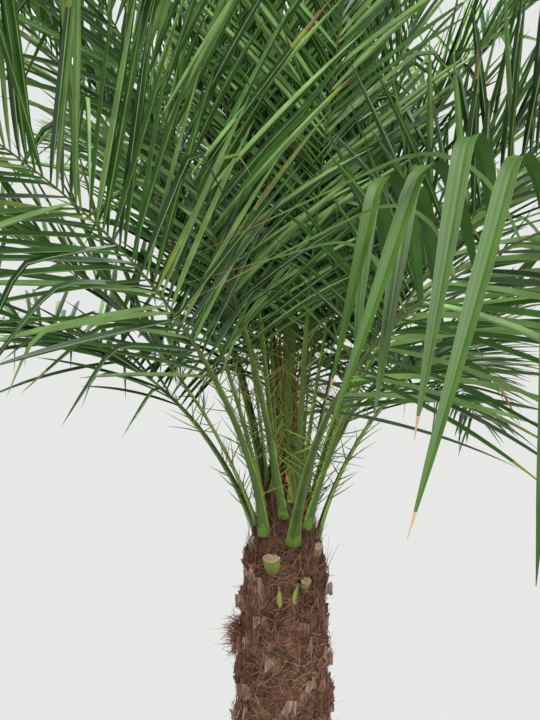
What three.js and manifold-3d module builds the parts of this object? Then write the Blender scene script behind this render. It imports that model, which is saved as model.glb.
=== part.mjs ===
// A potted pygmy date palm: a plain round nursery pot filled with potting mix, one straight stem
// wrapped in old leaf bases, and a crown of feather fronds set on a golden-angle spiral.
// Millimetres, +Z up, origin at the centre of the pot's flat underside. The front faces -Y.
// Compass angles run counter-clockwise from +X, seen from above.

import * as THREE from "three";
import { mergeVertices } from "three/addons/utils/BufferGeometryUtils.js";
import Module from "manifold-3d";

const wasm = await Module();
wasm.setup();

const radians = THREE.MathUtils.degToRad;
const mix = THREE.MathUtils.lerp;

// Gap between pieces that touch in life.
const GAP = 0.3;

// Pot: a tapered wall under a straight rim band.
const POT_HEIGHT = 350;
const POT_BASE_RADIUS = 158;
const POT_TOP_RADIUS = 192;
const POT_WALL = 6;
const POT_FLOOR = 7;
const RIM_RADIUS = 204;
const RIM_HEIGHT = 34;
const POT_SIDES = 36;

// Potting mix: a level middle under the stem, a little lower at the wall.
const SOIL_TOP = 314;
const SOIL_LEVEL_RADIUS = 120;
const SOIL_EDGE_DROP = 10;
const SOIL_CLEAR = 1.3;

// Stem: radius at each height, from the flat cut on the mix to the growing tip.
const STEM_FOOT = SOIL_TOP + GAP;
const STEM_PROFILE = [
  [STEM_FOOT, 92],
  [335, 80],
  [400, 72],
  [700, 70],
  [990, 67],
  [1100, 62],
  [1160, 58],
  [1205, 56],
  [1245, 48],
  [1280, 39],
  [1315, 30],
  [1350, 21],
  [1372, 14],
];
const STEM_SIDES = 16;
const STEM_LEAN = 0.012;

// Spiral of leaf bases. Fronds count up from its start, the old cut bases count down from it.
const GOLDEN_TURN = radians(137.5);
const SPIRAL_START = radians(197);
const CUT_HEIGHT = 1204;
const CUT_STEP = 8.4;
const LOWEST_BASE = 350;

// Old leaf bases: wedges that lean away from the stem towards their broken tops.
const BASE_LENGTH = 66;
const BASE_FOOT_WIDTH = 45;
const BASE_TOP_WIDTH = 29;
const BASE_STANDS_OUT = 12;
const BASE_SUNK = 6;
const BASE_TOP_SLOPE = 10;
const HIGHEST_BASE_TOP = 1225;

// Green stubs: the freshest cuts, by their number on the spiral.
const GREEN_STUBS = [0, 1, 3, 6];
const STUB_WIDTH = 34;
const STUB_HEIGHT = 36;
const STUB_STANDS_OUT = 19;
const STUB_SUNK = 4;
const STUB_CUT_SLOPE = 12;
const STUB_TOP_WIDTH = 0.8;

// Fronds: number 1 is the oldest and lowest, the last is the youngest at the tip.
const FRONDS = 26;
const CROWN_FOOT = 1228;
const CROWN_STEP = 5;
const FROND_LENGTH = { young: 960, old: 1160 };
const GROWN_AGE = 0.625;
const FOOT_LEAN = { young: 3, old: 24 };
const TIP_LEAN = { young: 14, old: 118 };
const TIP_LEAN_POWER = 1.1;
const ARCH_POWER = { young: 1.5, old: 0.85 };
const SIDE_SWAY = 7;
const SWAY_POWER = 1.5;
const STALK_SHARE = 0.22;

// Fronds that hang or turn otherwise than the even spiral. Turn, lean and tip are degrees on top
// of the rule's, sway and arch are values in its place, and droop is times the usual. Roll turns
// the blade about its rib, in degrees that lift the leaflets on the left.
const HABITS = new Map([
  [2, { turn: -5, sway: 24, lean: 12, tip: -18, arch: 0.5, roll: -22, droop: 1.5 }],
  [3, { lean: 2, tip: 8, roll: -8 }],
  [4, { turn: 3, sway: 0, lean: -7, tip: 20 }],
  [5, { turn: 8, sway: 9, lean: -16, tip: -2, arch: 0.55, roll: 36, droop: 0.5 }],
  [8, { lean: 2, tip: 14 }],
  [10, { turn: -22, sway: 0 }],
  [15, { turn: -12, sway: 0, lean: -3, tip: -6 }],
]);

// Rib: width and thickness at the foot, along the stalk and at the tip.
const RIB_FOOT = { young: [11, 7], old: [27, 13] };
const RIB_STALK = { young: [9, 6], old: [21, 10] };
const RIB_TIP = [4, 4];
const RIB_TAPER = 0.5;
const RIB_FOOT_FADE = 90;
const RIB_SEATED = 0.42;
const STALK_STEPS = 4;
const STEPS_BETWEEN = 4;

// Leaflets: pairs along the rib, each a thin bent blade that stands for a few of the real ones.
const LEAFLET_PAIRS = 10;
const LEAFLET_LENGTH = 330;
const LEAFLET_WIDTH = 32;
const LEAFLET_WIDTH_AT_TIP = 0.75;
const LEAFLET_THICKNESS = 3.6;
const LEAFLET_BEND = 0.45;
const LEAFLET_SPREAD = { base: 64, tip: 24 };
const LEAFLET_LONGEST_AT = 0.3;
const LEAFLET_SHORTEST = { base: 0.62, tip: 0.5 };
const SHORTENING_POWER = 1.6;
const LEAFLET_RISE = { young: 32, old: 14 };
const LEAFLET_DROOP = { young: 0.06, old: 0.4 };
const DROOP_AT_BASE = 0.35;
const YOUNG_OPENNESS = 0.5;
const OPEN_AGE = 0.3;
const TIP_BLADE = 60;

// Hanging leaflets: on the right of the outer part of one frond they rise towards the front, bend
// over and hang. Headings, lengths and where they bend go from the first value to the last.
const HANGING = { frond: 2, side: -1, from: 0.5, to: 0.94, middle: 0.55 };
const HANGING_HEADING = [-112, -126, -78];
const HANGING_LENGTH = [370, 440, 300];
const HANGING_BEND = [0.4, 0.2, 0.18];
const HANGING_ARCH = 0.3;
const HANGING_WIDTH = 24;
const HANGING_THICKNESS = 4.5;
const HANGING_RISE = 66;
const HANGING_FALL = -63;

// A leaflet that would touch another blade is turned, then shortened, and left out at last.
const LEAFLET_TURNS = [0, 14, -14, 28, -28, 42];
const LEAFLET_CUTS = [1, 0.75, 0.55];
const LEAFLET_CLEARANCE = 1;
const TOUCH_VOLUME = 0.001;

// Spear: the unopened frond in the middle of the crown.
const SPEAR_LENGTH = 560;
const SPEAR_RADIUS = 8;
const SPEAR_SWELL = { at: 0.25, radius: 10.4 };
const SPEAR_TAPER = { at: 0.7, radius: 6.4 };
const SPEAR_SIDES = 6;

// Solids

function closedGeometry(points, faces) {
  const geometry = new THREE.BufferGeometry();
  const values = points.flatMap((p) => p.toArray());
  geometry.setAttribute("position", new THREE.Float32BufferAttribute(values, 3));
  geometry.setIndex(faces.flat());
  return geometry;
}

function solidFrom(geometry) {
  const bare = geometry.clone();
  for (const name of Object.keys(bare.attributes)) {
    if (name !== "position") bare.deleteAttribute(name);
  }
  const merged = mergeVertices(bare, 1e-4);
  const corners = [];
  for (let i = 0; i < merged.index.count; i += 3) {
    const [a, b, c] = [merged.index.getX(i), merged.index.getX(i + 1), merged.index.getX(i + 2)];
    if (a !== b && b !== c && c !== a) corners.push(a, b, c);
  }
  return new wasm.Manifold(
    new wasm.Mesh({
      numProp: 3,
      vertProperties: merged.attributes.position.array,
      triVerts: new Uint32Array(corners),
    }),
  );
}

function geometryFrom(solid) {
  const mesh = solid.getMesh();
  const geometry = new THREE.BufferGeometry();
  geometry.setAttribute("position", new THREE.BufferAttribute(mesh.vertProperties, 3));
  geometry.setIndex(new THREE.BufferAttribute(mesh.triVerts, 1));
  geometry.computeVertexNormals();
  return geometry;
}

function turned(profile, sides) {
  const geometry = new THREE.LatheGeometry(profile.map(([r, z]) => new THREE.Vector2(r, z)), sides);
  geometry.rotateX(Math.PI / 2);
  return geometry;
}

function boxesApart(a, b) {
  return [0, 1, 2].some((axis) => a.max[axis] < b.min[axis] || b.max[axis] < a.min[axis]);
}

function boxed(solid) {
  return { solid, box: solid.boundingBox() };
}

function touches(one, others) {
  return others.some((other) => {
    if (boxesApart(one.box, other.box)) return false;
    return one.solid.intersect(other.solid).volume() > TOUCH_VOLUME;
  });
}

// Pot and mix

function potSolid() {
  const rimFoot = POT_HEIGHT - RIM_HEIGHT;
  return solidFrom(
    turned(
      [
        [0, 0],
        [POT_BASE_RADIUS, 0],
        [POT_TOP_RADIUS, rimFoot],
        [RIM_RADIUS, rimFoot],
        [RIM_RADIUS, POT_HEIGHT],
        [RIM_RADIUS - POT_WALL, POT_HEIGHT],
        [POT_TOP_RADIUS - POT_WALL, rimFoot],
        [POT_BASE_RADIUS - POT_WALL, POT_FLOOR],
        [0, POT_FLOOR],
      ],
      POT_SIDES,
    ),
  );
}

function soilSolid() {
  const rimFoot = POT_HEIGHT - RIM_HEIGHT;
  const radius = (z) => mix(POT_BASE_RADIUS, POT_TOP_RADIUS, z / rimFoot) - POT_WALL - SOIL_CLEAR;
  const foot = POT_FLOOR + GAP;
  const edge = SOIL_TOP - SOIL_EDGE_DROP;
  return solidFrom(
    turned(
      [
        [0, foot],
        [radius(foot), foot],
        [radius(edge), edge],
        [SOIL_LEVEL_RADIUS, SOIL_TOP],
        [0, SOIL_TOP],
      ],
      POT_SIDES,
    ),
  );
}

// Stem and its old leaf bases

function stemRadius(z) {
  const above = STEM_PROFILE.findIndex(([height]) => height >= z);
  if (above < 0) return STEM_PROFILE.at(-1)[1];
  if (above === 0) return STEM_PROFILE[0][1];
  const [lowZ, lowRadius] = STEM_PROFILE[above - 1];
  const [highZ, highRadius] = STEM_PROFILE[above];
  return mix(lowRadius, highRadius, (z - lowZ) / (highZ - lowZ));
}

function stemAxisX(z) {
  return STEM_LEAN * (z - STEM_FOOT);
}

function onStem(angle, radius, aside, z) {
  const x = radius * Math.cos(angle) - aside * Math.sin(angle);
  const y = radius * Math.sin(angle) + aside * Math.cos(angle);
  return new THREE.Vector3(x + stemAxisX(z), y, z);
}

function stemCore(extra) {
  const top = STEM_PROFILE.at(-1)[0];
  const rings = STEM_PROFILE.map(([z, radius]) => [radius + extra, z]);
  const core = turned([[0, STEM_FOOT], ...rings, [0, top + extra]], STEM_SIDES);
  const lean = new THREE.Matrix4().makeShear(0, 0, 0, 0, STEM_LEAN, 0);
  return solidFrom(core.applyMatrix4(lean).translate(stemAxisX(0), 0, 0));
}

function oldBase(angle, z) {
  const top = Math.min(z + BASE_LENGTH, HIGHEST_BASE_TOP);
  const points = [];
  for (const side of [-1, 1]) {
    points.push(onStem(angle, stemRadius(z) - BASE_SUNK, (side * BASE_FOOT_WIDTH) / 2, z));
    points.push(onStem(angle, stemRadius(top) + BASE_STANDS_OUT, (side * BASE_TOP_WIDTH) / 2, top));
    const inside = stemRadius(top) - BASE_SUNK;
    points.push(onStem(angle, inside, (side * BASE_TOP_WIDTH) / 2, top - BASE_TOP_SLOPE));
  }
  const faces = [
    [0, 1, 2],
    [3, 5, 4],
    [0, 4, 1],
    [0, 3, 4],
    [1, 5, 2],
    [1, 4, 5],
    [2, 3, 0],
    [2, 5, 3],
  ];
  return solidFrom(closedGeometry(points, faces));
}

function greenStub(angle, z, extra) {
  const half = STUB_WIDTH / 2 + extra;
  const topHalf = half * STUB_TOP_WIDTH;
  const inside = stemRadius(z) - STUB_SUNK - extra;
  const footOutside = stemRadius(z) + STUB_STANDS_OUT / 2 + extra;
  const topOutside = stemRadius(z) + STUB_STANDS_OUT + extra;
  const foot = z - extra;
  const cutInside = z + STUB_HEIGHT + extra;
  const cutOutside = cutInside - STUB_CUT_SLOPE;
  const points = [];
  for (const side of [-1, 1]) {
    points.push(onStem(angle, inside, side * half, foot));
    points.push(onStem(angle, footOutside, side * half, foot));
    points.push(onStem(angle, topOutside, side * topHalf, cutOutside));
    points.push(onStem(angle, inside, side * topHalf, cutInside));
  }
  const faces = [
    [0, 2, 3],
    [0, 1, 2],
    [4, 7, 6],
    [4, 6, 5],
    [0, 5, 1],
    [0, 4, 5],
    [1, 6, 2],
    [1, 5, 6],
    [2, 7, 3],
    [2, 6, 7],
    [3, 4, 0],
    [3, 7, 4],
  ];
  return solidFrom(closedGeometry(points, faces));
}

function stemPieces() {
  let stem = stemCore(0);
  const stubs = [];
  for (let number = 0; ; number += 1) {
    const z = CUT_HEIGHT - CUT_STEP * number;
    if (z < LOWEST_BASE) break;
    const angle = SPIRAL_START + GOLDEN_TURN * number;
    if (GREEN_STUBS.includes(number)) stubs.push([angle, z]);
    else stem = stem.add(oldBase(angle, z));
  }
  for (const [angle, z] of stubs) stem = stem.subtract(greenStub(angle, z, GAP));
  return { stem, stubs: stubs.map(([angle, z]) => greenStub(angle, z, 0)) };
}

function spearSolid() {
  const top = STEM_PROFILE.at(-1)[0];
  const foot = top + GAP;
  const spear = turned(
    [
      [0, foot],
      [SPEAR_RADIUS, foot],
      [SPEAR_SWELL.radius, foot + SPEAR_LENGTH * SPEAR_SWELL.at],
      [SPEAR_TAPER.radius, foot + SPEAR_LENGTH * SPEAR_TAPER.at],
      [0, foot + SPEAR_LENGTH],
    ],
    SPEAR_SIDES,
  );
  return solidFrom(spear.translate(stemAxisX(top), 0, 0));
}

// Fronds

function frondPlan(number) {
  const age = (FRONDS - number) / (FRONDS - 1);
  const habit = HABITS.get(number) ?? {};
  const footAngle = SPIRAL_START - GOLDEN_TURN * number;
  const sway = habit.sway ?? SIDE_SWAY * age * (number % 2 ? 1 : -1);
  return {
    age,
    footAngle,
    heading: footAngle + radians(habit.turn ?? 0),
    sway: radians(sway),
    height: CROWN_FOOT + CROWN_STEP * (number - 1),
    length: mix(FROND_LENGTH.young, FROND_LENGTH.old, Math.min(1, age / GROWN_AGE)),
    footLean: radians(mix(FOOT_LEAN.young, FOOT_LEAN.old, age) + (habit.lean ?? 0)),
    tipLean: radians(mix(TIP_LEAN.young, TIP_LEAN.old, age ** TIP_LEAN_POWER) + (habit.tip ?? 0)),
    archPower: habit.arch ?? mix(ARCH_POWER.young, ARCH_POWER.old, age),
    rise: mix(LEAFLET_RISE.young, LEAFLET_RISE.old, age),
    roll: habit.roll ?? 0,
    openness: mix(YOUNG_OPENNESS, 1, Math.min(1, age / OPEN_AGE)),
    droop: mix(LEAFLET_DROOP.young, LEAFLET_DROOP.old, age) * (habit.droop ?? 1),
  };
}

function ribSection(plan, distance) {
  const footSize = [0, 1].map((i) => mix(RIB_FOOT.young[i], RIB_FOOT.old[i], plan.age));
  const stalkSize = [0, 1].map((i) => mix(RIB_STALK.young[i], RIB_STALK.old[i], plan.age));
  const fade = Math.min(1, distance / RIB_FOOT_FADE);
  const along = distance / plan.length;
  return [0, 1].map((i) => {
    return mix(mix(footSize[i], stalkSize[i], fade), RIB_TIP[i], along ** RIB_TAPER);
  });
}

// Stations along the rib, each with its place, forward, left and upper directions and section.
function ribStations(plan) {
  const blade = 2 * LEAFLET_PAIRS;
  const shares = [];
  for (let i = 0; i < STALK_STEPS; i += 1) shares.push((STALK_SHARE * i) / STALK_STEPS);
  for (let i = 0; i <= blade; i += 1) shares.push(mix(STALK_SHARE, 1, i / blade));
  const [, footThickness] = ribSection(plan, 0);
  const footRadius = stemRadius(plan.height) + GAP + footThickness * (1 - RIB_SEATED);
  const place = onStem(plan.footAngle, footRadius, 0, plan.height);
  const stations = [];
  let last = 0;
  for (const share of shares) {
    for (let i = 0; i < STEPS_BETWEEN; i += 1) {
      const step = ((share - last) * plan.length) / STEPS_BETWEEN;
      const middle = mix(last, share, (i + 0.5) / STEPS_BETWEEN);
      place.addScaledVector(ribFrame(plan, middle).forward, step);
    }
    const [width, thickness] = ribSection(plan, share * plan.length);
    stations.push({ place: place.clone(), width, thickness, ...ribFrame(plan, share) });
    last = share;
  }
  return stations;
}

function ribFrame(plan, share) {
  const lean = plan.footLean + (plan.tipLean - plan.footLean) * share ** plan.archPower;
  const heading = plan.heading + plan.sway * share ** SWAY_POWER;
  const out = new THREE.Vector3(Math.cos(heading), Math.sin(heading), 0);
  const forward = out.clone().multiplyScalar(Math.sin(lean)).setZ(Math.cos(lean));
  const upper = out.clone().multiplyScalar(-Math.cos(lean)).setZ(Math.sin(lean));
  const left = new THREE.Vector3(-out.y, out.x, 0);
  return { forward, upper, left };
}

// The rib's three-sided section at a station: left edge, ridge on the upper side, right edge.
function ribRing({ place, width, thickness, left, upper }) {
  return [
    place.clone().addScaledVector(left, width / 2),
    place.clone().addScaledVector(upper, thickness),
    place.clone().addScaledVector(left, -width / 2),
  ];
}

// A leaflet's length against the longest, by its share of the blade.
function leafletSize(s) {
  if (s < LEAFLET_LONGEST_AT) {
    const near = Math.sin((Math.PI / 2) * (s / LEAFLET_LONGEST_AT));
    return mix(LEAFLET_SHORTEST.base, 1, near);
  }
  const far = (s - LEAFLET_LONGEST_AT) / (1 - LEAFLET_LONGEST_AT);
  return mix(1, LEAFLET_SHORTEST.tip, far ** SHORTENING_POWER);
}

// The part of the rib's side that a leaflet grows out of. Side is 1 on the left, -1 on the right.
function leafletRoot(from, to, side) {
  const [nearRing, farRing] = [ribRing(from), ribRing(to)];
  const faces = side > 0 ? [0, 1] : [1, 2];
  const root = [nearRing[faces[0]], nearRing[faces[1]], farRing[faces[1]], farRing[faces[0]]];
  const centre = root.reduce((sum, p) => sum.add(p), new THREE.Vector3()).divideScalar(4);
  return { root, centre };
}

// The four corners of a blade at one of its bends, in the order of its root's.
function bladeRing(centre, across, normal) {
  return [[-1, -1], [-1, 1], [1, 1], [1, -1]].map(([w, n]) => {
    return centre.clone().addScaledVector(across, w).addScaledVector(normal, n);
  });
}

// A leaflet from its root on the rib over its bend to its tip.
function leafletBlade(plan, from, to, side, s, turn, cut, clearance) {
  const { root, centre } = leafletRoot(from, to, side);
  const spread = radians(mix(LEAFLET_SPREAD.base, LEAFLET_SPREAD.tip, s)) * plan.openness;
  const rise = radians(plan.rise + side * plan.roll + turn);
  const aside = from.left.clone().multiplyScalar(side * Math.cos(rise));
  aside.addScaledVector(from.upper, Math.sin(rise));
  const straight = from.forward.clone().multiplyScalar(Math.cos(spread));
  straight.addScaledVector(aside, Math.sin(spread));
  const down = new THREE.Vector3(0, 0, -plan.droop);
  const first = straight.clone().addScaledVector(down, DROOP_AT_BASE).normalize();
  const second = straight.clone().add(down).normalize();
  const length = LEAFLET_LENGTH * leafletSize(s) * cut;
  const bend = centre.clone().addScaledVector(first, length * LEAFLET_BEND);
  const tip = bend.clone().addScaledVector(second, length * (1 - LEAFLET_BEND) + clearance);
  const across = from.forward.clone().addScaledVector(first, -from.forward.dot(first)).normalize();
  const normal = new THREE.Vector3().crossVectors(across, first).multiplyScalar(side).normalize();
  across.multiplyScalar((LEAFLET_WIDTH * mix(1, LEAFLET_WIDTH_AT_TIP, s)) / 2 + clearance);
  normal.multiplyScalar((LEAFLET_THICKNESS / 2 + clearance) * side);
  return { root, rings: [bladeRing(bend, across, normal)], tip };
}

function isHanging(number, side, s) {
  return number === HANGING.frond && side === HANGING.side && s > HANGING.from && s < HANGING.to;
}

// A leaflet that rises, bends over along its arch and hangs.
function hangingBlade(from, to, s, turn, cut, clearance) {
  const { root, centre } = leafletRoot(from, to, HANGING.side);
  const along = (s - HANGING.from) / (HANGING.to - HANGING.from);
  const near = Math.min(1, along / HANGING.middle);
  const far = Math.max(0, (along - HANGING.middle) / (1 - HANGING.middle));
  const value = ([first, middle, last]) => mix(mix(first, middle, near), last, far);
  const heading = radians(value(HANGING_HEADING) + turn);
  const length = value(HANGING_LENGTH) * cut;
  const archFrom = value(HANGING_BEND) - HANGING_ARCH / 2;
  const out = new THREE.Vector3(Math.cos(heading), Math.sin(heading), 0);
  const sloping = (slope) => out.clone().multiplyScalar(Math.cos(slope)).setZ(Math.sin(slope));
  const [rise, fall] = [radians(HANGING_RISE), radians(HANGING_FALL)];
  const level = (rise + fall) / 2;
  const across = new THREE.Vector3(-out.y, out.x, 0).multiplyScalar(HANGING_WIDTH / 2 + clearance);
  const normalAt = (slope, bend) => {
    const thick = HANGING_THICKNESS / 2 / Math.cos(bend / 2) + clearance;
    return sloping(slope + Math.PI / 2).multiplyScalar(-thick);
  };
  const arch = centre.clone().addScaledVector(sloping(rise), length * archFrom);
  const over = arch.clone().addScaledVector(sloping(level), length * HANGING_ARCH);
  const hung = length * (1 - archFrom - HANGING_ARCH) + clearance;
  return {
    root,
    rings: [
      bladeRing(arch, across, normalAt((rise + level) / 2, rise - level)),
      bladeRing(over, across, normalAt((level + fall) / 2, level - fall)),
    ],
    tip: over.clone().addScaledVector(sloping(fall), hung),
  };
}

// Side faces of a blade through its loops of four corners, and its point at the tip.
function bladeFaces(loops, tip) {
  const faces = [];
  for (let i = 0; i < 4; i += 1) {
    const next = (i + 1) % 4;
    for (let j = 0; j + 1 < loops.length; j += 1) {
      const [near, far] = [loops[j], loops[j + 1]];
      faces.push([near[i], near[next], far[next]], [near[i], far[next], far[i]]);
    }
    faces.push([loops.at(-1)[i], loops.at(-1)[next], tip]);
  }
  return faces;
}

function bladeSolid({ root, rings, tip }) {
  const loops = [root, ...rings].map((_, j) => [0, 1, 2, 3].map((i) => 4 * j + i));
  const faces = [[0, 3, 2], [0, 2, 1], ...bladeFaces(loops, 4 * loops.length)];
  return solidFrom(closedGeometry([...root, ...rings.flat(), tip], faces));
}

// One closed mesh: the rib, with its side faces opened where the kept leaflets grow out of them.
function frondGeometry(stations, blades) {
  const rings = stations.map(ribRing);
  const points = rings.flat();
  const faces = [[0, 2, 1]];
  for (let i = 0; i + 1 < rings.length; i += 1) {
    for (let side = 0; side < 3; side += 1) {
      const next = (side + 1) % 3;
      const corners = [3 * i + side, 3 * i + next, 3 * (i + 1) + next, 3 * (i + 1) + side];
      const blade = side < 2 ? blades.get(`${i} ${side}`) : undefined;
      if (blade) {
        const start = points.length;
        const loops = blade.rings.map((_, j) => [0, 1, 2, 3].map((k) => start + 4 * j + k));
        points.push(...blade.rings.flat(), blade.tip);
        faces.push(...bladeFaces([corners, ...loops], points.length - 1));
      } else {
        faces.push([corners[0], corners[1], corners[2]], [corners[0], corners[2], corners[3]]);
      }
    }
  }
  const end = stations.at(-1);
  const last = 3 * (rings.length - 1);
  points.push(end.place.clone().addScaledVector(end.forward, TIP_BLADE));
  for (let side = 0; side < 3; side += 1) {
    faces.push([last + side, last + ((side + 1) % 3), points.length - 1]);
  }
  return closedGeometry(points, faces);
}

function frondPieces() {
  const fronds = [];
  for (let number = 1; number <= FRONDS; number += 1) {
    const plan = frondPlan(number);
    const stations = ribStations(plan);
    const rib = boxed(solidFrom(frondGeometry(stations, new Map())));
    fronds.push({ number, plan, stations, rib, blades: new Map() });
  }
  // Tips first, so that the crown's outline is full, then pair by pair towards the stalks.
  const placed = [];
  const segments = 2 * LEAFLET_PAIRS;
  const trials = LEAFLET_CUTS.flatMap((cut) => LEAFLET_TURNS.map((turn) => [turn, cut]));
  for (let segment = segments - 1; segment >= 0; segment -= 1) {
    for (const frond of fronds) {
      const ribs = fronds.filter((other) => other !== frond).map(({ rib }) => rib);
      const side = (segment + frond.number) % 2 ? 1 : -1;
      const index = STALK_STEPS + segment;
      const [from, to] = [frond.stations[index], frond.stations[index + 1]];
      const s = (segment + 0.5) / segments;
      const blade = (turn, cut, clearance) => {
        if (isHanging(frond.number, side, s)) return hangingBlade(from, to, s, turn, cut, clearance);
        return leafletBlade(frond.plan, from, to, side, s, turn, cut, clearance);
      };
      for (const [turn, cut] of trials) {
        const trial = boxed(bladeSolid(blade(turn, cut, LEAFLET_CLEARANCE)));
        if (touches(trial, ribs) || touches(trial, placed)) continue;
        placed.push(trial);
        frond.blades.set(`${index} ${side > 0 ? 0 : 1}`, blade(turn, cut, 0));
        break;
      }
    }
  }
  const seat = stemCore(GAP);
  return fronds.map(({ number, stations, blades }) => {
    return { number, solid: solidFrom(frondGeometry(stations, blades)).subtract(seat) };
  });
}

// The palm

function piece(name, solid, color, roughness) {
  const material = new THREE.MeshStandardMaterial({ color, roughness, metalness: 0 });
  const mesh = new THREE.Mesh(geometryFrom(solid), material);
  mesh.name = name;
  return mesh;
}

const palm = new THREE.Group();
palm.add(piece("pot", potSolid(), 0x2b2c2d, 0.55));
palm.add(piece("soil", soilSolid(), 0x3a2a1f, 0.95));
const { stem, stubs } = stemPieces();
palm.add(piece("trunk", stem, 0x5c3a2a, 0.95));
stubs.forEach((stub, i) => palm.add(piece(`green_stub_${i + 1}`, stub, 0x7c9a3e, 0.6)));
palm.add(piece("spear", spearSolid(), 0x8a9a3c, 0.5));
for (const { number, solid } of frondPieces()) {
  palm.add(piece(`frond_${String(number).padStart(2, "0")}`, solid, 0x3f7a2c, 0.45));
}

export default palm;
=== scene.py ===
"""Looks of a potted pygmy date palm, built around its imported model.

Every piece is a mesh of closed tubes, swept ring by ring: the turned pot, the bark with its old
leaf bases, fibres, leaf stalks, spines and leaflets. Metres, +Z up, the front faces -Y. Compass
angles run counter-clockwise from +X, seen from above.
"""

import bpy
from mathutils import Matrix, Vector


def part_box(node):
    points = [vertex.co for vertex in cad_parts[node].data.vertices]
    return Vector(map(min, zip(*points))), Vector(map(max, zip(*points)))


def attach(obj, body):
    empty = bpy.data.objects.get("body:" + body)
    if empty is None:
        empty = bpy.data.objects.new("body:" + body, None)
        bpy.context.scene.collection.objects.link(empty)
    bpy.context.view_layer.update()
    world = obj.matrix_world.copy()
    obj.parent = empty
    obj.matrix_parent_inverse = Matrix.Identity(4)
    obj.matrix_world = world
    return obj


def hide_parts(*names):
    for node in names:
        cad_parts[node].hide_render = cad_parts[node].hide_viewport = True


bl_info = {
    "name": "Potted pygmy date palm",
    "version": (1, 0, 0),
    "blender": (4, 5, 0),
    "location": "3D View > Sidebar > Palm",
    "description": "Builds the looks of a potted pygmy date palm around its packed model",
    "category": "Add Mesh",
}

import math

import bpy
import numpy as np
from bpy.props import FloatProperty, FloatVectorProperty, IntProperty, PointerProperty
from mathutils import Euler, Matrix, Vector

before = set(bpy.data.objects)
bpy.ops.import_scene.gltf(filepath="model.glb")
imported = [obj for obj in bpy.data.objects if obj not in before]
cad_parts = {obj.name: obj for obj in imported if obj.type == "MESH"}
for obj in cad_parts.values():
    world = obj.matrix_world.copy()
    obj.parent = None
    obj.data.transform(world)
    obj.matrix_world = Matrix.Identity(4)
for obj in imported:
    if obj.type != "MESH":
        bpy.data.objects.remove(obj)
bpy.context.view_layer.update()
POT_LOW, POT_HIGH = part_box("pot")
SOIL_LOW, SOIL_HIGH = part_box("soil")
FROND_NODES = sorted(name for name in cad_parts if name.startswith("frond_"))
STUB_NODES = sorted(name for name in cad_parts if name.startswith("green_stub_"))
FRONDS = len(FROND_NODES)

GAP = 0.0003

# Stem: height and radius, from the flat cut on the mix to the growing tip, and its lean in X.
STEM_FOOT = SOIL_HIGH.z + GAP
STEM_HEIGHTS = [STEM_FOOT, 0.335, 0.4, 0.7, 0.99, 1.1, 1.16, 1.205, 1.245, 1.28, 1.315, 1.35, 1.372]
STEM_RADII = [0.092, 0.08, 0.072, 0.07, 0.067, 0.062, 0.058, 0.056, 0.048, 0.039, 0.03, 0.021, 0.014]
STEM_LEAN = 0.012

# Spiral of leaf bases. Fronds count up from its start, the old cut bases count down from it.
GOLDEN_TURN = math.radians(137.5)
SPIRAL_START = math.radians(197)
CUT_HEIGHT = 1.204
CUT_STEP = 0.0084
LOWEST_BASE = 0.35
HIGHEST_BASE_TOP = 1.225
GREEN_STUBS = [0, 1, 3, 6]

# Fronds: number 1 is the oldest and lowest, the last is the youngest at the tip.
CROWN_FOOT = 1.228
CROWN_STEP = 0.005
FROND_LENGTH = (0.96, 1.16)
FOOT_LEAN = (3, 24)
TIP_LEAN = (14, 118)
TIP_LEAN_POWER = 1.1
ARCH_POWER = (1.5, 0.85)
GROWN_AGE = 0.625
SIDE_SWAY = 7
SWAY_POWER = 1.5
STALK_SHARE = 0.22
RIB_FOOT = ((0.011, 0.007), (0.027, 0.013))
RIB_STALK = ((0.009, 0.006), (0.021, 0.010))
RIB_TIP = (0.003, 0.0025)
RIB_TAPER = 0.5
RIB_FOOT_FADE = 0.09
RIB_SEATED = 0.42

# Fronds that hang or turn otherwise than the even spiral. Turn, lean and tip are degrees on top of
# the rule's, sway and arch are values in its place, and droop is times the usual. Roll turns the
# blade about its rib, in degrees that lift the leaflets on the left.
HABITS = {
    2: {"turn": -5, "sway": 24, "lean": 12, "tip": -18, "arch": 0.5, "roll": -22, "droop": 1.5},
    3: {"lean": 2, "tip": 8, "roll": -8},
    4: {"turn": 3, "sway": 0, "lean": -7, "tip": 20},
    5: {"turn": 8, "sway": 9, "lean": -16, "tip": -2, "arch": 0.55, "roll": 36, "droop": 0.5},
    8: {"lean": 2, "tip": 14},
    10: {"turn": -22, "sway": 0},
    15: {"turn": -12, "sway": 0, "lean": -3, "tip": -6},
}

# Leaflets, as the source grows them, carried to the real number and width.
LEAFLET_SPREAD = (64, 24)
LEAFLET_LONGEST_AT = 0.3
LEAFLET_SHORTEST = (0.62, 0.5)
SHORTENING_POWER = 1.6
LEAFLET_RISE = (32, 14)
LEAFLET_DROOP = (0.06, 0.4)
YOUNG_OPENNESS = 0.5
OPEN_AGE = 0.3


def colour_property(name, description, *screen):
    """A colour in the sidebar, from the values that a screen shows, 0 to 255."""
    light = [screen_to_light(value / 255) for value in screen]
    return FloatVectorProperty(
        name=name, description=description, subtype="COLOR", size=3, min=0, max=1, default=light
    )


def screen_to_light(value):
    if value <= 0.04045:
        return value / 12.92
    return ((value + 0.055) / 1.055) ** 2.4


def length_property(name, description, default):
    return FloatProperty(name=name, description=description, default=default, unit="LENGTH")


def count_property(name, description, default):
    return IntProperty(name=name, description=description, default=default, min=1)


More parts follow.
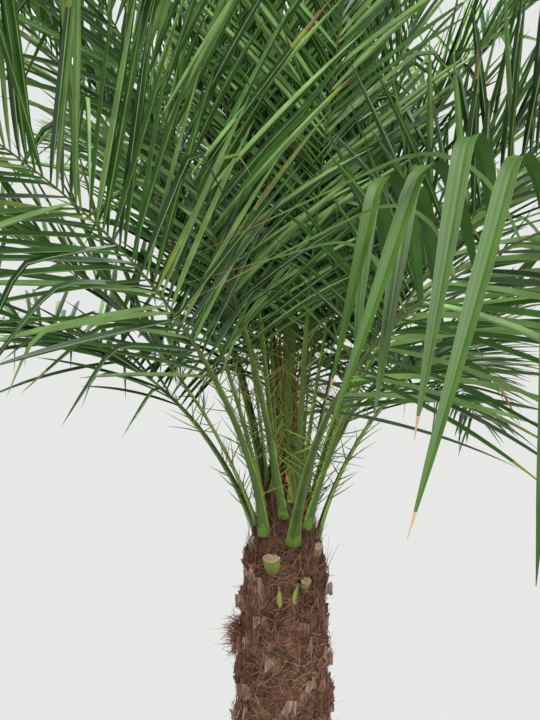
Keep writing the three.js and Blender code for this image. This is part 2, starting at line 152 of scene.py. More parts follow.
class PotLooks(bpy.types.PropertyGroup):
    wall: length_property("Wall", "Thickness of the pot's wall", 0.006)
    rim: length_property("Rim", "Height of the rim band", 0.034)
    taper: length_property("Base radius", "Radius of the pot's underside", 0.158)
    shoulder: length_property("Shoulder radius", "Radius of the wall under the rim", 0.192)
    plastic: colour_property("Plastic", "The pot's moulded plastic", 50, 51, 53)
    dust: colour_property("Dust", "Dried splashes and dust on the pot", 128, 120, 108)
    mix: colour_property("Potting mix", "Damp mix between the chips", 62, 46, 36)
    chip: colour_property("Bark chips", "Chips of bark in the mix", 112, 82, 60)


class StemLooks(bpy.types.PropertyGroup):
    fibres: count_property("Fibres", "Fibres in each layer of matting", 5400)
    strands: count_property("Crown fibres", "Fibres among the stalks' feet", 1500)
    hairs: count_property("Loose hairs", "Hairs that stand off the stem", 50)
    fibre_width: length_property("Fibre width", "Thickness of a matted fibre", 0.0012)
    bark: colour_property("Bark", "Red-brown matting of the stem", 143, 105, 87)
    # Dark colour standing for shade in the hollows between the leaf bases: painted shade, mottled over the
    # bark.
    hollow_shade: colour_property("Hollows", "Dark hollows between the leaf bases", 62, 42, 32)
    wood: colour_property("Old bases", "Weathered wood of the old leaf bases", 154, 128, 110)
    straw: colour_property("Straw", "Dry pale fibres and torn edges", 184, 150, 116)
    cut: colour_property("Cut face", "Dried face of a fresh cut", 178, 148, 122)
    stub: colour_property("Green stub", "Green side of a fresh cut", 118, 132, 46)


class FrondLooks(bpy.types.PropertyGroup):
    pairs: count_property("Leaflet pairs", "Pairs of leaflets on a frond", 68)
    length: length_property("Leaflet length", "Length of the longest leaflets", 0.33)
    width: length_property("Leaflet width", "Width of a leaflet at its widest", 0.0122)
    spines: count_property("Spines", "Spines on each side of a stalk", 15)
    deep: colour_property("Deep green", "Upper side of most leaflets", 30, 64, 20)
    middle: colour_property("Middle green", "Upper side of lighter leaflets", 62, 104, 36)
    # Pale green: partly the real tone of young leaflets and midribs, partly painted sheen.
    light: colour_property("Pale green", "Midribs and the palest leaflets", 128, 162, 100)
    long: colour_property("Long leaflets", "Long leaflets that hang at the front", 60, 94, 26)
    # The pale underside is partly the leaflets' own greyish scurf and partly painted sheen from bright
    # surroundings.
    under: colour_property("Underside", "Pale underside of some leaflets", 112, 144, 78)
    yellow: colour_property("Yellowing", "Leaflets and tips that turn yellow", 134, 146, 58)
    dry: colour_property("Dry tips", "Tips that have dried", 138, 110, 78)
    stalk: colour_property("Stalk", "Leaf stalks", 76, 103, 27)
    stalk_edge: colour_property("Stalk edge", "Pale edges of the stalks", 128, 152, 66)
    rib: colour_property("Rib", "Brownish ribs between the leaflets", 84, 92, 40)


# Shapes


def mix(a, b, share):
    return a + (b - a) * share


def unit(vectors):
    return vectors / np.linalg.norm(vectors, axis=-1, keepdims=True)


def full_turn(count):
    """Angles in even steps round a full turn."""
    return 2 * np.pi * np.arange(count) / count


def turn_from(angle, place):
    """The shorter turn from a place to an angle."""
    return (angle - place + np.pi) % (2 * np.pi) - np.pi


def outward(angle, up=0):
    """Directions away from the stem at compass angles."""
    return np.stack(np.broadcast_arrays(np.cos(angle), np.sin(angle), up), -1)


def leftward(out):
    """Level directions a quarter turn on from others."""
    return np.stack([-out[..., 1], out[..., 0], 0 * out[..., 2]], -1)


def strip_corners(half):
    """Places across a thin strip, along one face and back on the other, and 1 for its outer face."""
    aside = np.concatenate([np.linspace(1, -1, half), np.linspace(-1, 1, half)])[None]
    return aside, np.repeat([1, 0], half)[None]


class Shape:
    """Closed tubes gathered for one mesh. A tube is a row of rings, joined side by side."""

    def __init__(self):
        self.points = []
        self.blocks = []
        self.count = 0

    def sweep(self, rings, tones=0):
        """Adds tubes. rings is (tubes, rings, corners, 3), each ring counter-clockwise along its tube.

        tones is the material's number, one for all, or one for each side face as
        (tubes, rings - 1, corners), where a size of 1 stands for all.
        """
        tubes, length, corners, _ = rings.shape
        index = self.count + np.arange(tubes * length * corners).reshape(tubes, length, corners)
        self.points.append(rings.reshape(-1, 3))
        self.count += index.size
        near, far = index[:, :-1], index[:, 1:]
        sides = np.stack([near, np.roll(near, -1, 2), np.roll(far, -1, 2), far], -1)
        tones = np.broadcast_to(tones, sides.shape[:3])
        self.blocks.append((sides.reshape(-1, 4), tones.ravel()))
        self.cap(index[:, 0, ::-1], tones[:, 0, 0])
        self.cap(index[:, -1], tones[:, -1, 0])

    def cap(self, ring, tones):
        """Closes rings of points, each as one quad or as a fan."""
        corners = ring.shape[1]
        faces = [[0, 1, 2, 3]] if corners == 4 else [[0, i, i + 1] for i in range(1, corners - 1)]
        self.blocks += [(ring[:, face], tones) for face in faces]

    def build(self, name, materials, crease):
        """Makes the object. Edges sharper than crease, in degrees, stay sharp."""
        blocks = sorted(self.blocks, key=lambda block: block[0].shape[1])
        sizes = np.concatenate([np.full(len(faces), faces.shape[1]) for faces, _ in blocks])
        corners = np.concatenate([faces.ravel() for faces, _ in blocks])
        tones = np.concatenate([tones for _, tones in blocks])
        mesh = bpy.data.meshes.new(name)
        mesh.vertices.add(self.count)
        mesh.vertices.foreach_set("co", np.concatenate(self.points).astype(np.float32).ravel())
        mesh.loops.add(len(corners))
        mesh.loops.foreach_set("vertex_index", corners.astype(np.int32))
        mesh.polygons.add(len(sizes))
        mesh.polygons.foreach_set("loop_start", (np.cumsum(sizes) - sizes).astype(np.int32))
        for material in materials:
            mesh.materials.append(material)
        mesh.polygons.foreach_set("material_index", tones.astype(np.int32))
        mesh.update(calc_edges=True)
        mesh.shade_smooth()
        mesh.set_sharp_from_angle(angle=math.radians(crease))
        made = bpy.data.objects.new(name, mesh)
        bpy.context.scene.collection.objects.link(made)
        return made


def round_rings(paths, radii, corners, rng):
    """Round rings along many paths, (paths, steps, 3), without twist. radii is (paths, steps)."""
    forward = unit(np.gradient(paths, axis=1))
    whole = unit(paths[:, -1] - paths[:, 0])
    reference = unit(np.cross(whole, rng.normal(size=whole.shape)))[:, None]
    first = unit(np.cross(forward, reference))
    second = np.cross(forward, first)
    turn = full_turn(corners)[:, None]
    offsets = np.cos(turn) * first[:, :, None] + np.sin(turn) * second[:, :, None]
    return paths[:, :, None] + radii[..., None, None] * offsets


def turned_rings(profile, sides):
    """Rings of a lathe profile of (radius, height), as one tube."""
    radius, height = np.array(profile).T[..., None, None]
    return (radius * outward(full_turn(sides)) + height * [0, 0, 1])[None]


def waves(points, size, rng, count=7):
    """A smooth random field from -1 to 1 over points, with lumps about size across."""
    field = np.zeros(points.shape[:-1])
    for _ in range(count):
        direction = unit(rng.normal(size=3)) * (2 * np.pi / size) * rng.uniform(0.6, 1.5)
        field += np.sin(points @ direction + rng.uniform(0, 2 * np.pi))
    return field / count * 1.6


# Stem


def stem_radius(height):
    """Radius of the stem without its matting."""
    return np.interp(height, STEM_HEIGHTS, STEM_RADII)


def on_stem(angle, radius, aside, height):
    """Points beside the stem's leaning axis."""
    x = radius * np.cos(angle) - aside * np.sin(angle) + STEM_LEAN * (height - STEM_FOOT)
    y = radius * np.sin(angle) + aside * np.cos(angle)
    return np.stack(np.broadcast_arrays(x, y, height), -1)


def base_place(number):
    """Compass angle and height of a cut leaf base on the spiral."""
    return SPIRAL_START + GOLDEN_TURN * number, CUT_HEIGHT - CUT_STEP * number


def old_bases():
    """Number, compass angle and height of each old leaf base that isn't a green stub."""
    count = int((CUT_HEIGHT - LOWEST_BASE) / CUT_STEP) + 1
    return [(number, *base_place(number)) for number in range(count) if number not in GREEN_STUBS]


# Bark: its grid, how far it lies behind the stem's outline, how soon its matting begins above the
# foot, and depth, size and upright squeeze of its lumps. Bases: length and its scatter, half width
# at the foot and higher up, share that fades in below the foot, and swell at the foot and the tip.
BARK_ROWS = 340
BARK_COLUMNS = 132
BARK_TOP = STEM_HEIGHTS[-1]
BARK_BEHIND = 0.0015
BARK_SETTLES = 0.01
BARK_LUMPS = ((0.0016, 0.03, 1), (0.0011, 0.011, 0.5))
BASE_LENGTH = (0.066, 0.006)
BASE_HALF_WIDTH = (0.025, 0.017)
BASE_NARROWS_OVER = 0.07
BASE_FADE = 0.25
BASE_SWELL = (0.0035, 0.0065)


class Bark:
    """Radius of the matted bark round the stem, on an even grid of angle and height."""

    def __init__(self):
        rng = np.random.default_rng(11)
        self.heights = np.linspace(STEM_FOOT, BARK_TOP, BARK_ROWS)
        self.angles = full_turn(BARK_COLUMNS)
        height, angle = self.heights[:, None], self.angles[None]
        points = on_stem(angle, stem_radius(height), 0, height)
        relief = np.zeros(points.shape[:2])
        for number, place, foot in old_bases():
            half_width = mix(*BASE_HALF_WIDTH, (height - foot) / BASE_NARROWS_OVER)
            across = np.abs(turn_from(angle, place)) * stem_radius(height) / half_width
            along = (height - foot) / (BASE_LENGTH[0] + BASE_LENGTH[1] * math.sin(number * 2.3))
            inside = (across < 1) & (along > -BASE_FADE) & (along < 1)
            swell = np.sqrt(np.clip(1 - across**2, 0, 1))
            swell = swell * (BASE_SWELL[0] + BASE_SWELL[1] * np.clip(along, 0, 1) ** 1.4)
            swell = swell * np.clip(along + BASE_FADE, 0, BASE_FADE) / BASE_FADE
            relief = np.where(inside, np.maximum(relief, swell), relief)
        matting = 0
        for depth, size, squeeze in BARK_LUMPS:
            matting = matting + depth * waves(points * [1, 1, squeeze], size, rng)
        settled = np.clip((height - STEM_FOOT) / BARK_SETTLES, 0, 1)
        self.radius = stem_radius(height) - BARK_BEHIND + relief + matting * settled

    def at(self, angle, height):
        """Radius at any angle and height, between the grid's points."""
        row = np.clip((height - STEM_FOOT) / (BARK_TOP - STEM_FOOT), 0, 1) * (BARK_ROWS - 1)
        column = (angle / (2 * np.pi) % 1) * BARK_COLUMNS
        low = np.minimum(row.astype(int), BARK_ROWS - 2)
        left = column.astype(int) % BARK_COLUMNS
        right = (left + 1) % BARK_COLUMNS
        over = column - column.astype(int)
        below = mix(self.radius[low, left], self.radius[low, right], over)
        above = mix(self.radius[low + 1, left], self.radius[low + 1, right], over)
        return mix(below, above, row - low)

    def rings(self):
        """The bark as one tube."""
        return on_stem(self.angles[None], self.radius, 0, self.heights[:, None])[None]


# Fronds


def frond_plan(number):
    """The source's rule for one frond: its place, lengths and angles."""
    age = (FRONDS - number) / (FRONDS - 1)
    habit = HABITS.get(number, {})
    foot_angle = SPIRAL_START - GOLDEN_TURN * number
    return {
        "number": number,
        "age": age,
        "foot_angle": foot_angle,
        "heading": foot_angle + math.radians(habit.get("turn", 0)),
        "sway": math.radians(habit.get("sway", SIDE_SWAY * age * (1 if number % 2 else -1))),
        "height": CROWN_FOOT + CROWN_STEP * (number - 1),
        "length": mix(*FROND_LENGTH, min(1, age / GROWN_AGE)),
        "foot_lean": math.radians(mix(*FOOT_LEAN, age) + habit.get("lean", 0)),
        "tip_lean": math.radians(mix(*TIP_LEAN, age**TIP_LEAN_POWER) + habit.get("tip", 0)),
        "arch": habit.get("arch", mix(*ARCH_POWER, age)),
        "rise": mix(*LEAFLET_RISE, age),
        "roll": habit.get("roll", 0),
        "openness": mix(YOUNG_OPENNESS, 1, min(1, age / OPEN_AGE)),
        "droop": mix(*LEAFLET_DROOP, age) * habit.get("droop", 1),
        "foot_size": mix(*np.array(RIB_FOOT), age),
        "stalk_size": mix(*np.array(RIB_STALK), age),
    }


def rib_directions(plan, share):
    """Forward, upper and left directions of a frond's rib at each share of its length."""
    lean = mix(plan["foot_lean"], plan["tip_lean"], share ** plan["arch"])[:, None]
    out = outward(plan["heading"] + plan["sway"] * share**SWAY_POWER)
    rise = np.array([0, 0, 1])
    forward = out * np.sin(lean) + rise * np.cos(lean)
    upper = -out * np.cos(lean) + rise * np.sin(lean)
    return forward, upper, leftward(out)


RIB_STEPS = 400


def rib_places(plan, share):
    """Places along a frond's rib, by summing up its directions in close steps."""
    shares = np.linspace(0, 1, RIB_STEPS + 1)
    forward, _, _ = rib_directions(plan, (shares[:-1] + shares[1:]) / 2)
    foot_radius = stem_radius(plan["height"]) + GAP + plan["foot_size"][1] * (1 - RIB_SEATED)
    foot = on_stem(plan["foot_angle"], foot_radius, 0, plan["height"])
    steps = np.cumsum(forward * plan["length"] / RIB_STEPS, axis=0)
    line = np.concatenate([foot[None], foot + steps])
    return np.stack([np.interp(share, shares, line[:, axis]) for axis in range(3)], -1)


# Share of the source's rib that the looks keep, how much of it goes past the stalk, and over what
# share of the length.
RIB_SLIMS = (0.9, 0.45, 0.15)


def rib_size(plan, share):
    """Width and thickness of the rib."""
    full, less, over = RIB_SLIMS
    fade = np.minimum(1, share * plan["length"] / RIB_FOOT_FADE)[:, None]
    stalk = mix(plan["foot_size"], plan["stalk_size"], fade)
    slim = full - less * np.clip((share - STALK_SHARE) / over, 0, 1)[:, None]
    return mix(stalk, np.array(RIB_TIP), share[:, None] ** RIB_TAPER) * slim


def beside_rib(plan, share, side, out, up):
    """Rib directions, and roots on the rib's sides. out and up are shares of its width and depth."""
    forward, upper, left = rib_directions(plan, share)
    size = rib_size(plan, share)
    roots = rib_places(plan, share) + left * side * size[:, :1] * out + upper * size[:, 1:] * up
    return forward, upper, left, roots


def leaflet_size(s):
    """Length of a leaflet against the longest, by its share of the blade."""
    near = mix(LEAFLET_SHORTEST[0], 1, np.sin(np.pi / 2 * np.minimum(1, s / LEAFLET_LONGEST_AT)))
    far = np.clip((s - LEAFLET_LONGEST_AT) / (1 - LEAFLET_LONGEST_AT), 0, 1) ** SHORTENING_POWER
    return np.where(s < LEAFLET_LONGEST_AT, near, mix(1, LEAFLET_SHORTEST[1], far))


def walk(roots, headings, step):
    """Paths that take one step along each of their headings, from their roots."""
    moves = headings * step
    return roots[:, None] + np.cumsum(moves, 1) - moves[:, :1]


# Materials

COLOUR, FLOAT, VECTOR = "NodeSocketColor", "NodeSocketFloat", "NodeSocketVector"
EVEN = (1, 1, 1)
UPRIGHT = (1, 1, 0.12)
LEAF_GRAIN = (420, EVEN, 0.12, 0.0004)

# Finishes: how dark the first colour is and how light the second, scale and stretch of their
# patches, range of roughness, then the grain's scale, stretch, strength and depth, and the shine.
FINISHES = {
    "plastic": (0.85, 1.1, 9, EVEN, (0.42, 0.8), (260, EVEN, 0.12, 0.0006), 0.5),
    "damp mix": (0.7, 1.35, 120, EVEN, (0.86, 0.97), (420, EVEN, 0.8, 0.002), 0.2),
    # The matting's first colour is painted shade of the hollows, the second the bark's own brown.
    "matting": (1, 0.92, 70, (1, 1, 0.45), (0.82, 0.95), (330, (1, 1, 0.3), 0.9, 0.002), 0.2),
    "old wood": (0.4, 1.2, 280, (1, 1, 0.1), (0.78, 0.92), (520, (1, 1, 0.08), 1, 0.0015), 0.25),
    "fibre": (0.7, 1.2, 60, EVEN, (0.72, 0.9), (500, EVEN, 0.3, 0.0005), 0.25),
    "green stub": (0.8, 1.2, 60, (1, 1, 0.4), (0.45, 0.6), (260, UPRIGHT, 0.3, 0.0008), 0.5),
    "dried cut": (0.72, 1.12, 150, EVEN, (0.75, 0.9), (500, EVEN, 0.6, 0.001), 0.25),
    "brown stub": (0.55, 0.7, 110, (1, 1, 0.3), (0.7, 0.85), (300, UPRIGHT, 0.5, 0.001), 0.25),
    "sprout": (1.35, 0.7, 150, (1, 1, 0.5), (0.5, 0.7), (300, UPRIGHT, 0.4, 0.001), 0.5),
    "stalk": (0.78, 1.16, 46, UPRIGHT, (0.34, 0.5), (240, UPRIGHT, 0.2, 0.0006), 0.5),
    "glossy leaf": (0.82, 1.2, 22, EVEN, (0.2, 0.32), LEAF_GRAIN, 0.65),
    "matt leaf": (0.82, 1.2, 22, EVEN, (0.5, 0.62), LEAF_GRAIN, 0.25),
    "long leaf": (0.5, 0.66, 22, EVEN, (0.42, 0.52), LEAF_GRAIN, 0.11),
    "long vein": (0.66, 0.88, 22, EVEN, (0.42, 0.52), LEAF_GRAIN, 0.11),
    "floor": (1, 1, 3, EVEN, (0.6, 0.7), (80, EVEN, 0.05, 0.001), 0.5),
}
DUST_AMOUNT = 0.55
DUST_SCALE = 13


def add_node(tree, kind, inputs=None, **settings):
    """Adds a node. An input's value is a socket to link or a plain value."""
    node = tree.nodes.new(kind)
    for key, value in settings.items():
        setattr(node, key, value)
    for key, value in (inputs or {}).items():
        if isinstance(value, bpy.types.NodeSocket):
            tree.links.new(value, node.inputs[key])
        else:
            node.inputs[key].default_value = value
    return node


def new_group(name, inputs, outputs):
    """An empty shader node group with its sockets, and its input and output nodes."""
    group = bpy.data.node_groups.new(name, "ShaderNodeTree")
    for label, kind in inputs.items():
        group.interface.new_socket(label, in_out="INPUT", socket_type=kind)
    for label, kind in outputs.items():
        group.interface.new_socket(label, in_out="OUTPUT", socket_type=kind)
    return group, group.nodes.new("NodeGroupInput").outputs, group.nodes.new("NodeGroupOutput").inputs


def add_noise(group, given, **settings):
    """Noise fixed to the object, in the group's Scale and, where it has one, its Stretch."""
    place = add_node(group, "ShaderNodeTexCoord").outputs["Object"]
    if "Stretch" in given:
        stretch = {"Vector": place, "Scale": given["Stretch"]}
        place = add_node(group, "ShaderNodeMapping", stretch).outputs[0]
    inputs = {"Vector": place, "Scale": given["Scale"], **settings}
    return add_node(group, "ShaderNodeTexNoise", inputs).outputs["Fac"]


def add_range(tree, value, settings, **more):
    """A value moved from one range to another."""
    return add_node(tree, "ShaderNodeMapRange", {"Value": value, **settings}, **more).outputs[0]


def add_blend(group, mask, first, second, result):
    """Gives out the blend of two colours by a mask, and the mask."""
    blend = add_node(group, "ShaderNodeMix", {0: mask, 6: first, 7: second}, data_type="RGBA")
    group.links.new(blend.outputs[2], result["Colour"])
    group.links.new(mask, result["Mask"])


def mottle_group():
    """Two colours in soft patches, with the mask of the patches."""
    inputs = {"First colour": COLOUR, "Second colour": COLOUR, "Scale": FLOAT, "Stretch": VECTOR}
    group, given, result = new_group("Mottle", inputs, {"Colour": COLOUR, "Mask": FLOAT})
    limits = {"From Min": 0.32, "From Max": 0.68}
    noise = add_noise(group, given, Detail=4)
    mask = add_range(group, noise, limits, interpolation_type="SMOOTHSTEP")
    add_blend(group, mask, given["First colour"], given["Second colour"], result)
    return group


def grain_group():
    """Fine fibres or pores as a height for bump, long along the coordinate that is stretched least."""
    group, given, result = new_group("Grain", {"Scale": FLOAT, "Stretch": VECTOR}, {"Height": FLOAT})
    group.links.new(add_noise(group, given, Detail=3), result["Height"])
    return group


def dust_group():
    """A colour with pale dust and dried splashes on it, most of it on faces that look up."""
    inputs = {"Colour": COLOUR, "Dust colour": COLOUR, "Amount": FLOAT, "Scale": FLOAT}
    group, given, result = new_group("Dust", inputs, {"Colour": COLOUR, "Mask": FLOAT})
    noise = add_noise(group, given, Detail=6, Roughness=0.65)
    patches = add_range(group, noise, {"From Min": 0.42, "From Max": 0.75})
    facing = add_node(group, "ShaderNodeNewGeometry").outputs["Normal"]
    up = add_node(group, "ShaderNodeSeparateXYZ", {"Vector": facing}).outputs["Z"]
    lying = add_range(group, up, {"From Min": -0.4, "To Min": 0.45})
    both = add_node(group, "ShaderNodeMath", {0: patches, 1: lying}, operation="MULTIPLY").outputs[0]
    share = {0: both, 1: given["Amount"]}
    mask = add_node(group, "ShaderNodeMath", share, operation="MULTIPLY", use_clamp=True).outputs[0]
    add_blend(group, mask, given["Colour"], given["Dust colour"], result)
    return group


GROUPS = {}


def place_group(tree, name, inputs):
    """Places a shared effect, made at its first use, and gives its outputs."""
    makers = {"Mottle": mottle_group, "Grain": grain_group, "Dust": dust_group}
    if name not in GROUPS:
        GROUPS[name] = makers[name]()
    return add_node(tree, "ShaderNodeGroup", inputs, node_tree=GROUPS[name]).outputs


def shade(colour, factor):
    """A colour made darker or lighter, with the alpha that a socket wants."""
    return tuple(min(1, value * factor) for value in colour[:3]) + (1,)


def finished(name, finish, colour, other=None, dust=None):
    """A material of one of the finishes, mottled from one colour to the other, with or without dust."""
    dark, light, scale, stretch, roughness, grain, shine = FINISHES[finish]
    material = bpy.data.materials.new(name)
    material.use_nodes = True
    tree = material.node_tree
    surface = tree.nodes["Principled BSDF"].inputs
    colours = {
        "First colour": shade(colour, dark),
        "Second colour": shade(colour if other is None else other, light),
    }
    patches = place_group(tree, "Mottle", {**colours, "Scale": scale, "Stretch": stretch})
    if dust is not None:
        dusty = {"Dust colour": shade(dust, 1), "Amount": DUST_AMOUNT, "Scale": DUST_SCALE}
        patches = place_group(tree, "Dust", {"Colour": patches["Colour"], **dusty})
    tree.links.new(patches["Colour"], surface["Base Color"])
    limits = {"To Min": roughness[0], "To Max": roughness[1]}
    tree.links.new(add_range(tree, patches["Mask"], limits), surface["Roughness"])
    grain_scale, grain_stretch, strength, depth = grain
    height = place_group(tree, "Grain", {"Scale": grain_scale, "Stretch": grain_stretch})["Height"]
    bump = add_node(tree, "ShaderNodeBump", {"Height": height, "Strength": strength, "Distance": depth})
    tree.links.new(bump.outputs["Normal"], surface["Normal"])
    surface["Specular IOR Level"].default_value = shine
    return material


def finish_piece(piece, slot, *nodes):
    """The piece rides on the one body and stands for the nodes, if any, which are hidden. slot is not
    used.
    """
    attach(piece, "root")
    if nodes:
        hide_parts(*nodes)


# Pieces

# Pot: rounding of its edges, flat bands at the foot and the top of the rim, depth and slope of the
# shallow groove between them, and corners and steps of the turned wall.
POT_EDGE = 0.0025
RIM_BAND = (0.008, 0.009)
RIM_GROOVE = (0.0012, 0.0015)
LATHE_SIDES = 128
WALL_STEPS = 9


class PALM_OT_pot(bpy.types.Operator):
    """Adds the turned nursery pot with its rim band"""

    bl_idname = "palm.pot"
    bl_label = "Pot"

    def execute(self, context):
        looks = context.scene.palm_pot
        top = POT_HIGH.z
        rim = (POT_HIGH.x - POT_LOW.x) / 2
        rim_foot = top - looks.rim
        edge = POT_EDGE
        foot = looks.taper
        shoulder = looks.shoulder
        low, high = RIM_BAND
        deep, slope = RIM_GROOVE
        outside = [(foot - edge * 2, 0), (foot - edge * 0.6, edge * 0.6), (foot, edge * 2)]
        for step in range(1, WALL_STEPS):
            share = step / WALL_STEPS
            outside.append((mix(foot, shoulder, share), mix(edge * 2, rim_foot, share)))
        outside += [
            (shoulder, rim_foot - 0.001),
            (rim - edge, rim_foot),
            (rim - edge * 0.3, rim_foot + edge * 0.3),
            (rim, rim_foot + edge),
            (rim, rim_foot + low),
            (rim - deep, rim_foot + low + slope),
            (rim - deep, top - high - slope),
            (rim, top - high),
            (rim, top - edge),
            (rim - edge * 0.3, top - edge * 0.3),
            (rim - edge, top),
        ]
        inside = [
            (rim - looks.wall + edge * 0.4, top),
            (rim - looks.wall, top - edge),
            (shoulder - looks.wall + 0.003, rim_foot + 0.004),
            (shoulder - looks.wall, rim_foot - 0.004),
            (foot - looks.wall, looks.wall + 0.001),
        ]
        shape = Shape()
        shape.sweep(turned_rings(outside + inside, LATHE_SIDES))
        plastic = finished("pot_plastic", "plastic", looks.plastic, dust=looks.dust)
        finish_piece(shape.build("nursery_pot", [plastic], 40), "pot_plastic", "pot")
        return {"FINISHED"}


# Potting mix: radius of its level part, drop at the wall, its rings and their corners, and depth
# and size of its lumps. Its chips lie from the stem's foot to just clear of the wall.
MIX_LEVEL = 0.12
MIX_DROP = 0.01
MIX_RINGS = 46
MIX_SIDES = 132
MIX_LUMPS = ((0.0022, 0.022), (0.0014, 0.008))
CHIPS = 620
CHIPS_FROM = 0.085
CHIPS_CLEAR = 0.008
CHIP_RISE = 0.001
CHIP_SIZE = (0.004, 0.012)
CHIP_GIRTH = (0.18, 0.42)
CHIP_TAPER = [0.55, 1, 0.9, 0.5]
CHIP_SHADES = {"dark": 0.55, "brown": 1, "pale": 1.5}


class PALM_OT_soil(bpy.types.Operator):
    """Adds the lumpy potting mix and its bark chips"""

    bl_idname = "palm.soil"
    bl_label = "Potting mix"

    def execute(self, context):
        looks = context.scene.palm_pot
        rng = np.random.default_rng(5)
        wall = (SOIL_HIGH.x - SOIL_LOW.x) / 2
        foot = looks.taper - looks.wall - GAP - 0.001
        profile = [(foot, SOIL_LOW.z), (wall, SOIL_HIGH.z - MIX_DROP - 0.004)]
        for share in np.linspace(0.998, 0.02, MIX_RINGS):
            profile.append((wall * share, self.surface(wall * share, wall)))
        rings = turned_rings(profile, MIX_SIDES)
        lumps = sum(depth * waves(rings, size, rng) for depth, size in MIX_LUMPS)
        rings[:, 2:, :, 2] += lumps[:, 2:] - 0.001
        shape = Shape()
        shape.sweep(rings)
        damp = finished("potting_mix", "damp mix", looks.mix)
        finish_piece(shape.build("potting_mix", [damp], 60), "potting_mix", "soil")

        chips = Shape()
        turn = rng.uniform(0, 2 * np.pi, CHIPS)
        out = np.sqrt(rng.uniform(CHIPS_FROM**2, (wall - CHIPS_CLEAR) ** 2, CHIPS))
        ground = self.surface(out, wall) + CHIP_RISE
        place = out[:, None] * outward(turn) + ground[:, None] * [0, 0, 1]
        heading = rng.normal(size=(CHIPS, 2))
        heading = unit(np.concatenate([heading, rng.normal(size=(CHIPS, 1)) * 0.25], 1))
        size = rng.uniform(*CHIP_SIZE, CHIPS)[:, None]
        steps = np.linspace(-0.5, 0.5, len(CHIP_TAPER))[None, :, None]
        paths = place[:, None] + heading[:, None] * size[..., None] * steps
        girth = size * rng.uniform(*CHIP_GIRTH, (CHIPS, 1)) * np.array(CHIP_TAPER)
        tones = rng.integers(0, len(CHIP_SHADES), CHIPS)[:, None, None]
        chips.sweep(round_rings(paths, girth, 5, rng), tones)
        browns = [
            finished(f"chip_{name}", "fibre", shade(looks.chip, factor))
            for name, factor in CHIP_SHADES.items()
        ]
        finish_piece(chips.build("bark_chips", browns, 20), "potting_mix")
        return {"FINISHED"}

    def surface(self, radius, wall):
        """Height of the mix, level in the middle and dropping to the wall."""
        return SOIL_HIGH.z - MIX_DROP * np.clip((radius - MIX_LEVEL) / (wall - MIX_LEVEL), 0, 1)


class PALM_OT_bark(bpy.types.Operator):
    """Adds the matted bark with the swell of every old leaf base"""

    bl_idname = "palm.bark"
    bl_label = "Bark"

    def execute(self, context):
        looks = context.scene.palm_stem
        shape = Shape()
        shape.sweep(Bark().rings())
        # Painted shade of the hollows, mottled in patches with the bark's brown.
        matting = finished("bark_matting_and_painted_shade", "matting", looks.hollow_shade, looks.bark)
        finish_piece(shape.build("trunk_bark", [matting], 60), "trunk_fibre", "trunk")
        return {"FINISHED"}


# Plates of the old leaf bases: one broad plate on each and two narrow ones. Spread is the scatter
# round the stem in radians, lean and tip are ranges of how far the tip stands off and its width.
PLATES = 3
PLATE_ROWS = 8
PLATE_HALF = 9
PLATE_LENGTH = 0.06
PLATE_LENGTHS = (0.75, 1.1)
PLATE_SHIFT = 0.012
PLATE_TOP = HIGHEST_BASE_TOP - 0.012
PLATE_THICKNESS = (0.0024, 0.0007)
PLATE_ROOT = -0.003
PLATE_TEARS = 0.5
PLATE_HOLLOW = 0.25
PLATE_TWIST = 0.006
PLATE_CURL = 0.003
PLATE_RIDGES = 0.0009
PLATE_GROOVES = 0.0007
PLATE_ROUGH = 0.0005
PLATE_CHANCES = [0.45, 0.45, 0.1]
BROAD = {"spread": 0.06, "width": 0.018, "lean": (0.011, 0.018), "tip": (0.007, 0.012)}
NARROW = {"spread": 0.2, "width": 0.01, "lean": (0.006, 0.014), "tip": (0.001, 0.003)}

# Green splinters at the front: place aside, height and length of each, and how far they lie off
# the stem. Plates leave the part round them free.
SPLINTER_ANGLE = math.radians(-90)
SPLINTERS = ((-0.0075, 1.136, 0.034), (0.0145, 1.141, 0.031))
SPLINTERS_AT = 1.15
SPLINTER_OFF = (0.006, 0.012)
SPLINTER_GIRTH = 0.0046
SPLINTER_TAPER = [[0.5, 0.95, 1, 0.85, 0.6, 0.35, 0.05]]
FREE_TURN = 0.36
FREE_HEIGHTS = (1.125, 1.2)


